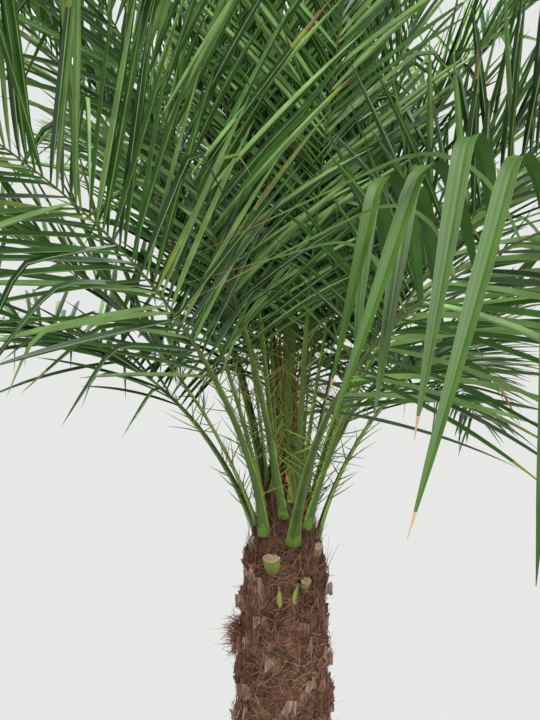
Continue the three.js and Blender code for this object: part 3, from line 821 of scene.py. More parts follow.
class PALM_OT_bases(bpy.types.Operator):
    """Adds the ragged plates of the old leaf bases"""

    bl_idname = "palm.bases"
    bl_label = "Old leaf bases"

    def execute(self, context):
        looks = context.scene.palm_stem
        rng = np.random.default_rng(23)
        shape = Shape()
        for number, angle, foot in old_bases():
            for plate in range(PLATES):
                self.add_plate(shape, rng, number, angle, foot, NARROW if plate else BROAD)
        pale = mix(np.array(looks.wood), np.array(looks.straw), 0.3)
        colours = {"brown": looks.bark, "grey": looks.wood, "pale": pale}
        woods = [finished(f"old_base_{name}", "old wood", colour) for name, colour in colours.items()]
        finish_piece(shape.build("old_leaf_bases", woods, 40), "trunk_fibre", "trunk")
        return {"FINISHED"}

    def add_plate(self, shape, rng, number, angle, foot, kind):
        """One torn and ridged plate, whose tip stands off the stem."""
        along = np.linspace(0, 1, PLATE_ROWS)[:, None]
        aside, outer = strip_corners(PLATE_HALF)
        angle = angle + rng.normal(0, kind["spread"])
        foot = foot + rng.uniform(-PLATE_SHIFT, PLATE_SHIFT)
        top = min(foot + PLATE_LENGTH * rng.uniform(*PLATE_LENGTHS), PLATE_TOP)
        in_front = abs(turn_from(angle, SPLINTER_ANGLE)) < FREE_TURN
        if in_front and FREE_HEIGHTS[0] < top < FREE_HEIGHTS[1]:
            return
        lean = rng.uniform(*kind["lean"])
        width = mix(kind["width"], rng.uniform(*kind["tip"]), along**1.6)
        torn = rng.uniform(0, 1, PLATE_HALF) ** 1.5
        torn = np.concatenate([torn, torn[::-1]])[None]
        height = mix(foot, top, along * (1 - PLATE_TEARS * torn * along**3))
        thick = mix(*PLATE_THICKNESS, along) * (1 - 0.4 * aside**2)
        ridges = PLATE_RIDGES * np.cos(11 * aside + number)
        ridges = ridges + PLATE_GROOVES * rng.normal(size=aside.shape)
        curl = rng.normal(0, PLATE_CURL) * aside * along + ridges
        rough = PLATE_ROUGH * rng.normal(size=(PLATE_ROWS, 2 * PLATE_HALF))
        stands = mix(PLATE_ROOT, lean, along**1.5) + curl + rough
        radius = stem_radius(height) + stands + outer * thick - PLATE_HOLLOW * np.abs(aside * width)
        twist = PLATE_TWIST * rng.normal() * along**1.5
        rings = on_stem(angle, radius, aside * width + twist, height)
        shape.sweep(rings[None], rng.choice(3, p=PLATE_CHANCES))


# Layers of matted fibres: how far each lies off the bark, and how far its ends lift besides.
FIBRE_LAYERS = {"matted_fibres": (0.0012, 0.002), "upper_fibres": (0.005, 0.003)}
FIBRE_REACH = (0.025, 0.07)
FIBRE_WIDTHS = (0.3, 1.35)
FIBRE_TAPER = np.array([0.5, 1, 1, 0.9, 0.7, 0.35])[None]
FIBRE_CHANCES = [0.28, 0.38, 0.14, 0.16, 0.04]
FIBRE_LEANS = [-0.9, 0.9]
FIBRE_LEAN_SCATTER = 0.5
FIBRE_WRIGGLE = 0.42
FIBRE_CLEAR = 0.0006
FIBRES_TOP = 1.25
DARK_FROM = 1.2

# Loose strands: ranges of length and width, bend and steps along them, share of them that are twice
# as long, and chances of the five tones from dark to straw.
FRAYED = ((0.006, 0.026), (0.0003, 0.0008), 0.38, 5, 0, [0.3, 0.3, 0.12, 0.18, 0.1])
HAIRS = ((0.014, 0.042), (0.00025, 0.0005), 0.4, 7, 0, [0.2, 0.3, 0.1, 0.25, 0.15])
TUFT = ((0.014, 0.032), (0.0004, 0.0008), 0.9, 7, 0.02, [0.22, 0.3, 0.32, 0.12, 0.04])
CROWN_FIBRES = ((0.02, 0.055), (0.0004, 0.0009), 0.12, 5, 0, [0.6, 0.26, 0.08, 0.05, 0.01])

# Where they grow: on the low bases, up the stem, in the tuft and round the stalks' feet. OFF is how
# far their roots lie off the stem or its bark.
FRAYED_ON_BASE = 14
FRAYED_BELOW = 1.14
FRAYED_HALF_WIDTH = (0.021, 0.014)
FRAYED_HEIGHT = 0.068
FRAYED_OFF = (0.001, 0.009)
HAIR_HEIGHTS = (STEM_FOOT + 0.05, 1.15)
TUFT_STRANDS = 420
TUFT_ANGLE = math.radians(188)
TUFT_HEIGHT = 1.09
TUFT_SCATTER = (0.1, 0.013)
TUFT_OFF = (0.002, 0.013)
CROWN_FIBRE_HEIGHTS = (1.19, 1.36)
CROWN_FIBRE_OFF = (0, 0.005)


def bark_tones(looks):
    """Plain fibre materials from dark to pale."""
    bark, straw = np.array(looks.bark), np.array(looks.straw)
    colours = {
        "dark": bark * 0.38,
        "brown": bark,
        "rust": bark * [1.2, 1.0, 0.9],
        "tan": mix(bark, straw, 0.55),
        "straw": straw,
    }
    return [finished(f"fibre_{name}", "fibre", colour) for name, colour in colours.items()]


class PALM_OT_fibres(bpy.types.Operator):
    """Adds the fibres matted over the stem and the loose hairs"""

    bl_idname = "palm.fibres"
    bl_label = "Fibres"

    def execute(self, context):
        looks = context.scene.palm_stem
        rng = np.random.default_rng(31)
        bark = Bark()
        tones = bark_tones(looks)
        for name, (over, lift) in FIBRE_LAYERS.items():
            mat = Shape()
            paths = self.matted_paths(bark, rng, looks.fibres, over, lift)
            width = looks.fibre_width / 2 * rng.uniform(*FIBRE_WIDTHS, (looks.fibres, 1)) * FIBRE_TAPER
            tone = rng.choice(5, looks.fibres, p=FIBRE_CHANCES)
            tone = np.where(paths[:, 0, 2] > DARK_FROM, np.minimum(tone, 1), tone)[:, None, None]
            mat.sweep(round_rings(paths, width, 3, rng), tone)
            finish_piece(mat.build(name, tones, 180), "trunk_fibre", "trunk")

        loose = Shape()
        self.add_frayed(loose, rng)
        self.add_hairs(loose, bark, rng, looks.hairs)
        self.add_tuft(loose, bark, rng)
        self.add_crown_fibres(loose, bark, rng, looks.strands)
        finish_piece(loose.build("loose_fibres", tones, 180), "trunk_fibre", "trunk")
        return {"FINISHED"}

    def matted_paths(self, bark, rng, count, over, lift):
        """Paths of fibres that wriggle over the bark."""
        steps = FIBRE_TAPER.shape[1]
        height = rng.uniform(STEM_FOOT, FIBRES_TOP, (count, 1))
        turn = rng.uniform(0, 2 * np.pi, (count, 1))
        reach = rng.uniform(*FIBRE_REACH, (count, 1))
        lean = rng.normal(0, FIBRE_LEAN_SCATTER, (count, 1)) + rng.choice(FIBRE_LEANS, (count, 1))
        lean = lean + np.cumsum(rng.normal(0, FIBRE_WRIGGLE, (count, steps)), 1)
        rise = height + reach * np.cumsum(np.cos(lean), 1) / steps
        rise = np.clip(rise, STEM_FOOT + 0.002, BARK_TOP - 0.002)
        sweep = turn + reach * np.cumsum(np.sin(lean), 1) / steps / stem_radius(height)
        off = FIBRE_CLEAR + over * rng.uniform(0, 1, (count, 1)) ** 1.5
        ends = np.abs(np.linspace(-1, 1, steps)[None]) ** 2.5
        off = off + rng.uniform(0, lift, (count, 1)) * ends
        return on_stem(sweep, bark.at(sweep, rise) + off, 0, rise)

    def grow(self, shape, rng, roots, headings, lengths, widths, bend, steps, twice, chances):
        """Strands of one kind from their roots, each bending at random and getting thin."""
        count = len(roots)
        length = rng.uniform(*lengths, count)
        if twice:
            length = length * np.where(rng.random(count) < twice, 2, 1)
        tone = rng.choice(5, count, p=chances)[:, None, None]
        width = rng.uniform(*widths, count)[:, None] * np.linspace(1, 0.3, steps)[None]
        steer = headings[:, None] + np.cumsum(rng.normal(0, bend, (count, steps, 3)), 1)
        paths = walk(roots, unit(steer), length[:, None, None] / (steps - 1))
        shape.sweep(round_rings(paths, width, 3, rng), tone)

    def add_frayed(self, shape, rng):
        """Short torn strands at the top and the sides of each old base."""
        low_bases = [place for place in old_bases() if place[2] < FRAYED_BELOW]
        _, angle, foot = np.repeat(low_bases, FRAYED_ON_BASE, 0).T
        count = len(angle)
        along = rng.uniform(0.3, 1, count) ** 0.5
        aside = rng.uniform(-1, 1, count) * mix(*FRAYED_HALF_WIDTH, along)
        height = np.minimum(foot + FRAYED_HEIGHT * along, HIGHEST_BASE_TOP)
        roots = on_stem(angle, stem_radius(height) + mix(*FRAYED_OFF, along), aside, height)
        out = outward(angle)
        lean = rng.normal(0, 0.8, (count, 1)) * leftward(out) + rng.uniform(-0.1, 0.3, (count, 1)) * out
        self.grow(shape, rng, roots, unit(lean + [0, 0, 0.8]), *FRAYED)

    def add_hairs(self, shape, bark, rng, count):
        """Fine hairs that stand off the stem and curl."""
        angle = rng.uniform(0, 2 * np.pi, count)
        height = rng.uniform(*HAIR_HEIGHTS, count)
        roots = on_stem(angle, bark.at(angle, height) + 0.002, 0, height)
        out = outward(angle, rng.normal(-0.1, 0.5, count))
        headings = unit(out + rng.normal(0, 0.5, (count, 3)))
        self.grow(shape, rng, roots, headings, *HAIRS)

    def add_tuft(self, shape, bark, rng):
        """The bunch of torn fibres that stands out on the left of the stem."""
        count = TUFT_STRANDS
        angle = TUFT_ANGLE + rng.normal(0, TUFT_SCATTER[0], count)
        height = TUFT_HEIGHT + rng.normal(0, TUFT_SCATTER[1], count)
        roots = on_stem(angle, bark.at(angle, height) + rng.uniform(*TUFT_OFF, count), 0, height)
        headings = unit(outward(angle) + rng.normal(0, 0.4, (count, 3)) - [0, 0, 0.5])
        self.grow(shape, rng, roots, headings, *TUFT)

    def add_crown_fibres(self, shape, bark, rng, count):
        """Dark upright fibres round the feet of the stalks."""
        height = rng.uniform(*CROWN_FIBRE_HEIGHTS, count)
        angle = rng.uniform(0, 2 * np.pi, count)
        off = rng.uniform(*CROWN_FIBRE_OFF, count)
        roots = on_stem(angle, bark.at(angle, height) + off, 0, height)
        out = outward(angle)
        headings = unit(-0.22 * out + leftward(out) * rng.normal(0, 0.5, (count, 1)) + [0, 0, 1])
        self.grow(shape, rng, roots, headings, *CROWN_FIBRES)


# Stubs: number on the spiral, girth against the widest, height above its foot, tone of its side.
CUTS = ((0, 0.72, 0.031, 2), (1, 0.8, 0.032, 2), (3, 1, 0.031, 0), (6, 0.62, 0.022, 0))
CUT_HALF_WIDTH = 0.0145
CUT_DEPTH = 0.0095
CUT_ROWS = 9
CUT_HALF = 8
CUT_SWELL = ([0, 0.25, 0.5, 1], [0.5, 0.8, 0.98, 1])
CUT_ROUGH = 0.0011

# Rings of a cut face inside its lip: share of the way out from its middle, and depth.
CUT_FACE = ((0.84, 0.0014), (0.35, 0.0026))


class PALM_OT_stubs(bpy.types.Operator):
    """Adds the fresh green stubs with their dried cut faces, and two green splinters"""

    bl_idname = "palm.stubs"
    bl_label = "Green stubs"

    def execute(self, context):
        looks = context.scene.palm_stem
        rng = np.random.default_rng(41)
        green = finished("stub_green", "green stub", looks.stub)
        dried = finished("stub_cut", "dried cut", looks.cut)
        brown = finished("stub_brown", "brown stub", looks.stub, looks.cut)
        for cut, node in zip(CUTS, STUB_NODES):
            shape = Shape()
            self.add_stub(shape, rng, *cut)
            piece = shape.build(f"cut_stub_{cut[0] + 1:02d}", [green, dried, brown], 45)
            finish_piece(piece, "cut_stub", node)

        splinters = Shape()
        t = np.linspace(0, 1, len(SPLINTER_TAPER[0]))
        out = stem_radius(SPLINTERS_AT) + mix(*SPLINTER_OFF, t)
        for aside, height, reach in SPLINTERS:
            path = on_stem(SPLINTER_ANGLE, out, aside * (1 + 0.4 * t**2), height + reach * t)[None]
            tones = np.array([0, 0, 0, 0, 1, 1])[None, :, None].repeat(6, 2)
            tones[:, 1:, 2:4] = 1
            splinters.sweep(round_rings(path, SPLINTER_GIRTH * np.array(SPLINTER_TAPER), 6, rng), tones)
        sprout = finished("splinter_green", "sprout", looks.stub, looks.cut)
        finish_piece(splinters.build("green_splinters", [sprout, brown], 50), "cut_stub")
        return {"FINISHED"}

    def add_stub(self, shape, rng, number, size, tall, side_tone):
        """One cut stalk, whose cut face lies a little inside its lip."""
        along = np.linspace(0, 1, CUT_ROWS)[:, None]
        back = np.linspace(np.pi, 2 * np.pi, CUT_HALF + 2)[1:-1]
        turn = np.concatenate([np.linspace(0, np.pi, CUT_HALF), back])[None]
        angle, foot = base_place(number)
        swell = np.interp(along, *CUT_SWELL)
        width = CUT_HALF_WIDTH * size * swell * mix(0.86, 1, along)
        depth = CUT_DEPTH * size * swell
        rough = CUT_ROUGH * rng.normal(size=(CUT_ROWS, turn.shape[1])) * along
        slope = (-0.0045 * np.sin(turn) + 0.0012 * np.cos(3 * turn + number)) * along**2
        height = foot + tall * along + slope + rough
        middle = stem_radius(foot + 0.03) + mix(-0.007, 0.0065 * size, along**0.7)
        out = (depth + rough) * np.sin(turn) * np.where(np.sin(turn) < 0, 0.25, 1)
        rings = on_stem(angle, middle + out, -width * np.cos(turn), height)[None]
        lip = rings[:, -1:]
        centre = lip.mean(2, keepdims=True)
        face = [mix(centre, lip, share) - [0, 0, depth] for share, depth in CUT_FACE]
        whole = np.concatenate([rings, *face], 1)
        tones = np.full((1, whole.shape[1] - 1, 1), side_tone)
        tones[:, -3:] = 1
        shape.sweep(whole, tones)


# Spear: its corners, rings, radius and taper, depth of its pleats, and bow. Sheaths: their number
# and rings, the lowest foot and the step to the next, their length, half width, taper and
# thickness, and how far the foot and the tip stand off.
SPEAR_CORNERS = 16
SPEAR_ROWS = 26
SPEAR_RADIUS = 0.0088
SPEAR_TAPER = ([0, 0.08, 0.3, 0.7, 1], [0.9, 1, 1.15, 0.8, 0.12])
SPEAR_PLEATS = 0.12
SPEAR_BOW = 0.004
SHEATHS = 26
SHEATH_STEPS = 12
SHEATH_FOOT = 1.275
SHEATH_STEP = 0.0025
SHEATH_REACH = (0.14, 0.26)
SHEATH_HALF_WIDTH = (0.002, 0.0055)
SHEATH_TAPER = ([0, 0.3, 0.7, 1], [1, 0.95, 0.6, 0.12])
SHEATH_THICKNESS = 0.0009
SHEATH_OFF = 0.004
SHEATH_LEAN = (0.004, 0.016)
TIP_RADIUS = 0.012


class PALM_OT_heart(bpy.types.Operator):
    """Adds the unopened spear and the papery sheaths in the heart of the crown"""

    bl_idname = "palm.heart"
    bl_label = "Spear and sheaths"

    def execute(self, context):
        looks = context.scene.palm_fronds
        stem = context.scene.palm_stem
        rng = np.random.default_rng(47)
        low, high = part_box("spear")
        t = np.linspace(0, 1, SPEAR_ROWS)[:, None]
        girth = SPEAR_RADIUS * np.interp(t, *SPEAR_TAPER)
        girth = girth * (1 + SPEAR_PLEATS * (np.arange(SPEAR_CORNERS)[None] % 2))
        height = mix(low.z, high.z - 0.001, t)[..., None]
        middle = ((low.x + high.x) / 2 + SPEAR_BOW * np.sin(np.pi * t))[..., None]
        around = girth[..., None] * outward(full_turn(SPEAR_CORNERS))
        spear = Shape()
        spear.sweep((around + middle * [1, 0, 0] + height * [0, 0, 1])[None])
        green = finished("spear_green", "glossy leaf", looks.yellow)
        finish_piece(spear.build("spear_leaf", [green], 15), "spear_leaf", "spear")

        sheaths = Shape()
        s = np.linspace(0, 1, SHEATH_STEPS)[:, None]
        aside, outer = strip_corners(3)
        for number in range(SHEATHS):
            rise = SHEATH_FOOT + SHEATH_STEP * number + rng.uniform(*SHEATH_REACH) * s
            width = rng.uniform(*SHEATH_HALF_WIDTH) * np.interp(s, *SHEATH_TAPER)
            ripple = 0.0022 * np.sin(9 * s + number) + 0.0012 * np.sin(23 * s + 2 * number)
            lean = SHEATH_OFF + rng.uniform(*SHEATH_LEAN) * s + ripple
            radius = np.maximum(stem_radius(rise), TIP_RADIUS) + lean + SHEATH_THICKNESS * outer
            around = GOLDEN_TURN * number + 0.4 + 0.35 * np.sin(3 * s + number)
            rings = on_stem(around, radius - 0.3 * np.abs(aside) * width, aside * width, rise)
            sheaths.sweep(rings[None], int(rng.integers(0, 3)))
        orange = mix(np.array(stem.straw), np.array(stem.bark), 0.35) * [1.3, 0.9, 0.5]
        papers = [
            finished("sheath_orange", "fibre", orange),
            finished("sheath_dark", "fibre", orange * 0.3),
            finished("sheath_yellow", "fibre", looks.yellow),
        ]
        finish_piece(sheaths.build("heart_sheaths", papers, 50), "trunk_fibre")
        return {"FINISHED"}


# Stalks: corners round them, those on the edges, those darkened as painted shade in the groove and
# underneath, and the shares of the rings.
STALK_CORNERS = 12
STALK_EDGES = [0, 5, 6, 11]
STALK_PAINTED_SHADES = [2, 3, 8]
STALK_SHARES = np.concatenate([np.linspace(0, 0.04, 8)[:-1], np.linspace(0.04, 1, 64)])
STALK_GREEN, STALK_EDGE, STALK_PAINTED_SHADE, RIB_BROWN, STALK_FOOT = range(5)

# Foot of a stalk: how much and how high it flares, how far its two last rings lie before it and
# their girth, and how high and uneven its pale part is. The brown begins past the stalk.
FOOT_FLARE = 0.08
FOOT_FLARE_HEIGHT = 0.03
FOOT_DROPS = np.array([[0.007], [0.0055]])
FOOT_GIRTHS = [[0.7], [1]]
FOOT_PALE = (0.007, 0.009)
BROWN_FROM = STALK_SHARE + 0.06
GROOVE_DEPTH = 0.75
GROOVE_ENDS = 0.6


class PALM_OT_ribs(bpy.types.Operator):
    """Adds the channelled stalk and rib of every frond"""

    bl_idname = "palm.ribs"
    bl_label = "Stalks and ribs"

    def execute(self, context):
        looks = context.scene.palm_fronds
        shape = Shape()
        for number in range(1, FRONDS + 1):
            self.add_rib(shape, frond_plan(number))
        greens = [
            finished("stalk_green", "stalk", looks.stalk),
            finished("stalk_edge", "stalk", looks.stalk_edge),
            # A darker green for the painted shade in the stalk's groove and underneath.
            finished("stalk_painted_shade", "stalk", shade(looks.stalk, 0.8)),
            finished("rib_brown", "stalk", looks.rib),
            finished("stalk_foot", "stalk", shade(looks.stalk, 1.6)),
        ]
        finish_piece(shape.build("frond_stalks", greens, 50), "frond_green", *FROND_NODES)
        return {"FINISHED"}

    def add_rib(self, shape, plan):
        """One rib, with two more rings that round off its foot."""
        share = STALK_SHARES
        places = rib_places(plan, share)
        size = rib_size(plan, share)
        near_foot = np.clip(1 - share * plan["length"] / FOOT_FLARE_HEIGHT, 0, 1)[:, None]
        flare = 1 + FOOT_FLARE * near_foot**2
        forward, upper, left = rib_directions(plan, share)
        drop = FOOT_DROPS * (0.4 + plan["age"])
        places = np.concatenate([places[:1] - forward[:1] * drop, places])
        size = np.concatenate([size[:1] * flare[0] * FOOT_GIRTHS, size * flare])
        upper = np.concatenate([upper[:1], upper[:1], upper])
        left = np.concatenate([left[:1], left[:1], left])
        along = np.concatenate([[0, 0], share])
        turn = full_turn(STALK_CORNERS)
        x = np.cos(turn) * size[:, :1] / 2
        groove = np.clip(1 - along / GROOVE_ENDS, -0.4, 1)[:, None]
        groove = groove * (1 - np.abs(np.cos(turn))) * GROOVE_DEPTH
        lift = np.sin(turn) * 0.62 - np.where(np.sin(turn) > 0, groove, 0)
        y = (lift + 0.38) * size[:, 1:]
        rings = places[:, None] + x[..., None] * left[:, None] + y[..., None] * upper[:, None]
        tones = np.full((1, len(along) - 1, STALK_CORNERS), STALK_GREEN)
        tones[:, :, STALK_EDGES] = STALK_EDGE
        # Strips in the groove and one underneath take a darker green: painted shade.
        tones[:, :, STALK_PAINTED_SHADES] = STALK_PAINTED_SHADE
        uneven = np.sin(2.1 * np.arange(STALK_CORNERS) + plan["number"]) ** 2
        foot_end = FOOT_PALE[0] + FOOT_PALE[1] * uneven
        tones[:, (along[1:] * plan["length"])[:, None] < foot_end] = STALK_FOOT
        tones[:, along[1:] > BROWN_FROM] = RIB_BROWN
        shape.sweep(rings[None], tones)


# Spines: shares along the stalk, seat on its side, length, on the youngest and oldest frond and at
# the stalk's foot and end, mean and scatter of their spread and rise in degrees, and their bow.
SPINE_SHARES = (0.035, STALK_SHARE + 0.02)
SPINE_SEAT = (0.46, 0.3)
SPINE_LENGTH = (0.03, 0.085)
SPINE_LENGTH_BY_AGE = (0.6, 1)
SPINE_LENGTH_BY_PLACE = (0.7, 1.2)
SPINE_SPREAD = (52, 17)
SPINE_RISE = (20, 32)
SPINE_BOW = 0.006
SPINE_RADIUS = 0.001
SPINE_TAPER = np.array([[1, 0.85, 0.55, 0.12]])
SPINE_CHANCES = [0.62, 0.32, 0.06]


class PALM_OT_spines(bpy.types.Operator):
    """Adds the long spines along the stalks"""

    bl_idname = "palm.spines"
    bl_label = "Spines"

    def execute(self, context):
        looks = context.scene.palm_fronds
        rng = np.random.default_rng(59)
        shape = Shape()
        count = 2 * looks.spines
        side = np.where(np.arange(count) % 2, 1, -1)[:, None]
        t = np.linspace(0, 1, SPINE_TAPER.shape[1])[None, :, None]
        for number in range(1, FRONDS + 1):
            plan = frond_plan(number)
            share = np.sort(rng.uniform(*SPINE_SHARES, count))
            forward, upper, left, roots = beside_rib(plan, share, side, *SPINE_SEAT)
            spread = np.radians(rng.normal(*SPINE_SPREAD, (count, 1)))
            rise = np.radians(rng.normal(*SPINE_RISE, (count, 1)))
            aside = left * side * np.cos(rise) + upper * np.sin(rise)
            headings = unit(forward * np.cos(spread) + aside * np.sin(spread))
            length = rng.uniform(*SPINE_LENGTH, (count, 1)) * mix(*SPINE_LENGTH_BY_AGE, plan["age"])
            length *= mix(*SPINE_LENGTH_BY_PLACE, share[:, None] / STALK_SHARE)
            bow = rng.normal(0, SPINE_BOW, (count, 1, 3)) * t**2
            paths = roots[:, None] + headings[:, None] * length[:, None] * t + bow
            girth = np.full((count, 1), SPINE_RADIUS) * SPINE_TAPER
            tone = rng.choice(3, count, p=SPINE_CHANCES)[:, None, None]
            shape.sweep(round_rings(paths, girth, 4, rng), tone)
        tones = [
            finished("spine_green", "stalk", looks.stalk),
            finished("spine_yellow", "stalk", looks.yellow),
            finished("spine_tan", "stalk", looks.dry),
        ]
        finish_piece(shape.build("stalk_spines", tones, 60), "frond_green")
        return {"FINISHED"}


LEAFLET_GROUPS = (("low", 1, 9), ("middle", 10, 18), ("top", 19, FRONDS))
LEAFLET_STEPS = 12
DEEP, MIDDLE, LIGHT, YELLOW, DRY, UNDER_DEEP, UNDER_MIDDLE, LONG, LONG_VEIN = range(9)

# Places of the points across a leaflet's upper side and back on the underside, and its outline.
UPPER_AT = (1, 0, -1)
MIDRIB_AT = (-0.14, 0.14)
VEINS_AT = (1, 0.9, 0.62, 0.5, 0.3, 0.09, -0.09, -0.3, -0.5, -0.62, -0.9, -1)
VEIN_STRIPS = [0, 2, 5, 8, 10]
BLADE_AT = [0, 0.06, 0.2, 0.6, 0.85, 1]
BLADE_WIDTHS = [0.3, 0.66, 1, 0.93, 0.52, 0.03]
BLADE_FOLD = ([0, 0.4, 1], [1.05, 0.78, 0.5])
BLADE_THICKNESS = 0.07
BLADE_THINNEST = 0.00016

# Scatter of the leaflets: degrees of spread, rise and twist, and a bow aside. Length and width are
# times the rule's, and the droop is e to the power of a number with this mean and scatter.
LEAFLET_SEAT = (0.42, 0.45)
SPREAD_SCATTER = 5
RISE_SCATTER = 13
TWIST_SCATTER = 12
BOW_SCATTER = 0.022
LENGTH_SCATTER = (0.86, 1.03)
WIDTH_SCATTER = (0.85, 1.15)
DROOP_SCATTER = (-0.75, 0.4)

# Kinks: chance on the youngest and oldest frond, place along the leaflet, and fall from there.
KINKED = (0.03, 0.12)
KINK_AT = (0.35, 0.75)
KINK_FALL = (0.7, 2.4)

# Chances of the upper tones on the youngest and oldest frond, of the undersides, of painted sheen
# (a lighter tone on one half of the fold, as if lit), of one underside on both halves, and of a dry
# tip on the youngest and oldest frond.
# The third upper tone, pale green, is partly painted sheen on whole leaflets.
UPPER_CHANCES = ((0.42, 0.34, 0.2, 0.006), (0.6, 0.34, 0.1, 0.006))
UNDER_CHANCES = {DEEP: 0.24, UNDER_DEEP: 0.48, UNDER_MIDDLE: 0.28}
PAINTED_SHEEN_HALF = 0.55
SAME_UNDERSIDE = 0.7
DRY_TIPS = (0.02, 0.22)

# Long leaflets of frond 2 that rise towards the front, bend over and hang. Heading, length and
# bend go from one value to the next along the frond. Those of HANGING_ARCHES only arch to the left.
HANGING_FROND = 2
HANGING_COUNT = 15
HANGING_SHARE = (0.5, 0.94)
HANGING_AT = [0, 0.55, 1]
HANGING_HEADING = (-112, -126, -78)
HANGING_LENGTH = (0.37, 0.44, 0.3)
HANGING_BEND = (0.4, 0.2, 0.18)
HANGING_ARCH = 0.3
HANGING_RISE = 66
HANGING_FALL = 63
HANGING_WIDTH = 0.019
HANGING_WIDTHS = ([0, 0.1, 0.3, 0.55, 0.85, 1], [0.4, 0.75, 1, 0.9, 0.42, 0.03])
HANGING_FOLD = ([0, 0.3, 0.6, 1], [0.8, 0.42, 0.36, 0.3])
HANGING_ARCHES = [1, 4, 7]
ARCHES = {"turn": 36, "fall": 24, "bend": 0.27, "soft": 0.45, "length": 0.8, "width": 0.5}


def blade_rings(paths, across, facing, widths, fold, twist, upper_at, under_at):
    """Folded blades along many paths.

    across lies along the blade's width, facing is where its upper side faces at the root, widths
    are (blades, steps), fold is how far the edges rise against half the width, and upper_at and
    under_at are the places of the points on either side, from edge to edge and back.
    """
    heading = unit(np.gradient(paths, axis=1))
    first = unit(across - heading * np.sum(across * heading, -1, keepdims=True))
    normal = np.cross(heading, first)
    side = np.where(np.sum(normal[:, :1] * facing[:, None], -1, keepdims=True) < 0, -1, 1)
    first, normal = first * side, normal * side
    edge = first * np.cos(twist) + normal * np.sin(twist)
    face = normal * np.cos(twist) - first * np.sin(twist)
    half = widths[..., None] / 2
    lift = half * fold
    thick = np.maximum(half * BLADE_THICKNESS, BLADE_THINNEST)
    flat = edge * half * np.sqrt(1 - np.minimum(fold, 0.95) ** 2 * 0.5)
    corners = [flat * u + face * (lift * abs(u) ** 0.55 + thick * (1 - abs(u))) for u in upper_at]
    corners += [flat * u + face * (lift * abs(u) - thick * (1 - abs(u))) for u in under_at]
    return np.stack([paths + corner for corner in corners], 2)


def leaflet_rings(plan, s, side, rng, looks):
    """Rings of the leaflets at the shares s of a frond's blade."""
    count = len(s)
    side = side[:, None]
    t = np.linspace(0, 1, LEAFLET_STEPS)
    share = mix(STALK_SHARE, 1, s)
    forward, upper, left, roots = beside_rib(plan, share, side, *LEAFLET_SEAT)
    spread = mix(*LEAFLET_SPREAD, s) + rng.normal(0, SPREAD_SCATTER, count)
    spread = np.radians(spread)[:, None] * plan["openness"]
    rise = plan["rise"] + side * plan["roll"] + rng.normal(0, RISE_SCATTER, (count, 1))
    rise = np.radians(rise)
    aside = left * side * np.cos(rise) + upper * np.sin(rise)
    straight = unit(forward * np.cos(spread) + aside * np.sin(spread))
    length = looks.length * leaflet_size(s) * rng.uniform(*LENGTH_SCATTER, count)
    bent = rng.random(count) < mix(*KINKED, plan["age"])
    droop = plan["droop"] * np.exp(rng.normal(*DROOP_SCATTER, count))
    fall = droop[:, None] * (0.1 + 1.35 * t[None] ** 1.3)
    kink = rng.uniform(*KINK_AT, (count, 1))
    kink_fall = bent[:, None] * rng.uniform(*KINK_FALL, (count, 1))
    fall += kink_fall * np.clip((t[None] - kink) * 5, 0, 1)
    bow = rng.normal(0, BOW_SCATTER, (count, 1, 3)) * t[None, :, None]
    heading = unit(straight[:, None] + fall[..., None] * [0, 0, -1] + bow)
    paths = walk(roots, heading, (length / (LEAFLET_STEPS - 1))[:, None, None])
    turn = np.radians(rng.normal(0, TWIST_SCATTER, count))[:, None]
    turn = turn + np.radians(rng.normal(0, TWIST_SCATTER, count))[:, None] * t
    width = looks.width * mix(1, 0.72, s) * np.interp(s, [0, 0.12], [0.55, 1])
    width = width * rng.uniform(*WIDTH_SCATTER, count)
    widths = width[:, None] * np.interp(t, BLADE_AT, BLADE_WIDTHS)[None]
    fold = np.interp(t, *BLADE_FOLD)[None, :, None]
    twist = turn[..., None]
    return blade_rings(paths, forward[:, None], upper, widths, fold, twist, UPPER_AT, MIDRIB_AT)


def hanging_rings(plan):
    """Rings of the long hanging leaflets."""
    number = np.arange(HANGING_COUNT)[:, None]
    along = number / (HANGING_COUNT - 1)
    arches = np.isin(number, HANGING_ARCHES)
    heading, length, bend = (
        np.interp(along, HANGING_AT, values) for values in (HANGING_HEADING, HANGING_LENGTH, HANGING_BEND)
    )
    heading = heading + 7 * np.sin(2.4 * number) - np.where(arches, ARCHES["turn"], 0)
    veer = 9 * np.sin(1.9 * number + 1)
    rise = HANGING_RISE + 9 * np.sin(2.9 * number + 2)
    fall = -np.where(arches, ARCHES["fall"], HANGING_FALL) - 7 * np.sin(3.7 * number)
    bend = np.where(arches, ARCHES["bend"], bend) + 0.03 * np.sin(1.3 * number)
    soft = np.where(arches, ARCHES["soft"], HANGING_ARCH)
    length = length * np.where(arches, ARCHES["length"], 1)
    width = np.where(arches, ARCHES["width"], 0.95 + 0.1 * np.sin(4.3 * number))
    width = HANGING_WIDTH * width * mix(1, 0.8, along**3)
    *_, roots = beside_rib(plan, mix(*HANGING_SHARE, along)[:, 0], -1, *LEAFLET_SEAT)
    t = np.linspace(0, 1, 2 * LEAFLET_STEPS)[None]
    bent = np.clip((t - bend) / soft + 0.5, 0, 1)
    slope = np.radians(mix(rise, fall, bent * bent * (3 - 2 * bent)))
    out = outward(np.radians(heading + veer * t))
    headings = out * np.cos(slope)[..., None] + np.sin(slope)[..., None] * [0, 0, 1]
    paths = walk(roots, headings, length[..., None] / (t.size - 1))
    widths = width * np.interp(t, *HANGING_WIDTHS)
    fold = np.interp(t, *HANGING_FOLD)[..., None]
    up = np.array([[0, 0, 1]])
    return blade_rings(paths, leftward(out), up, widths, fold, 0 * fold, VEINS_AT, (0,))


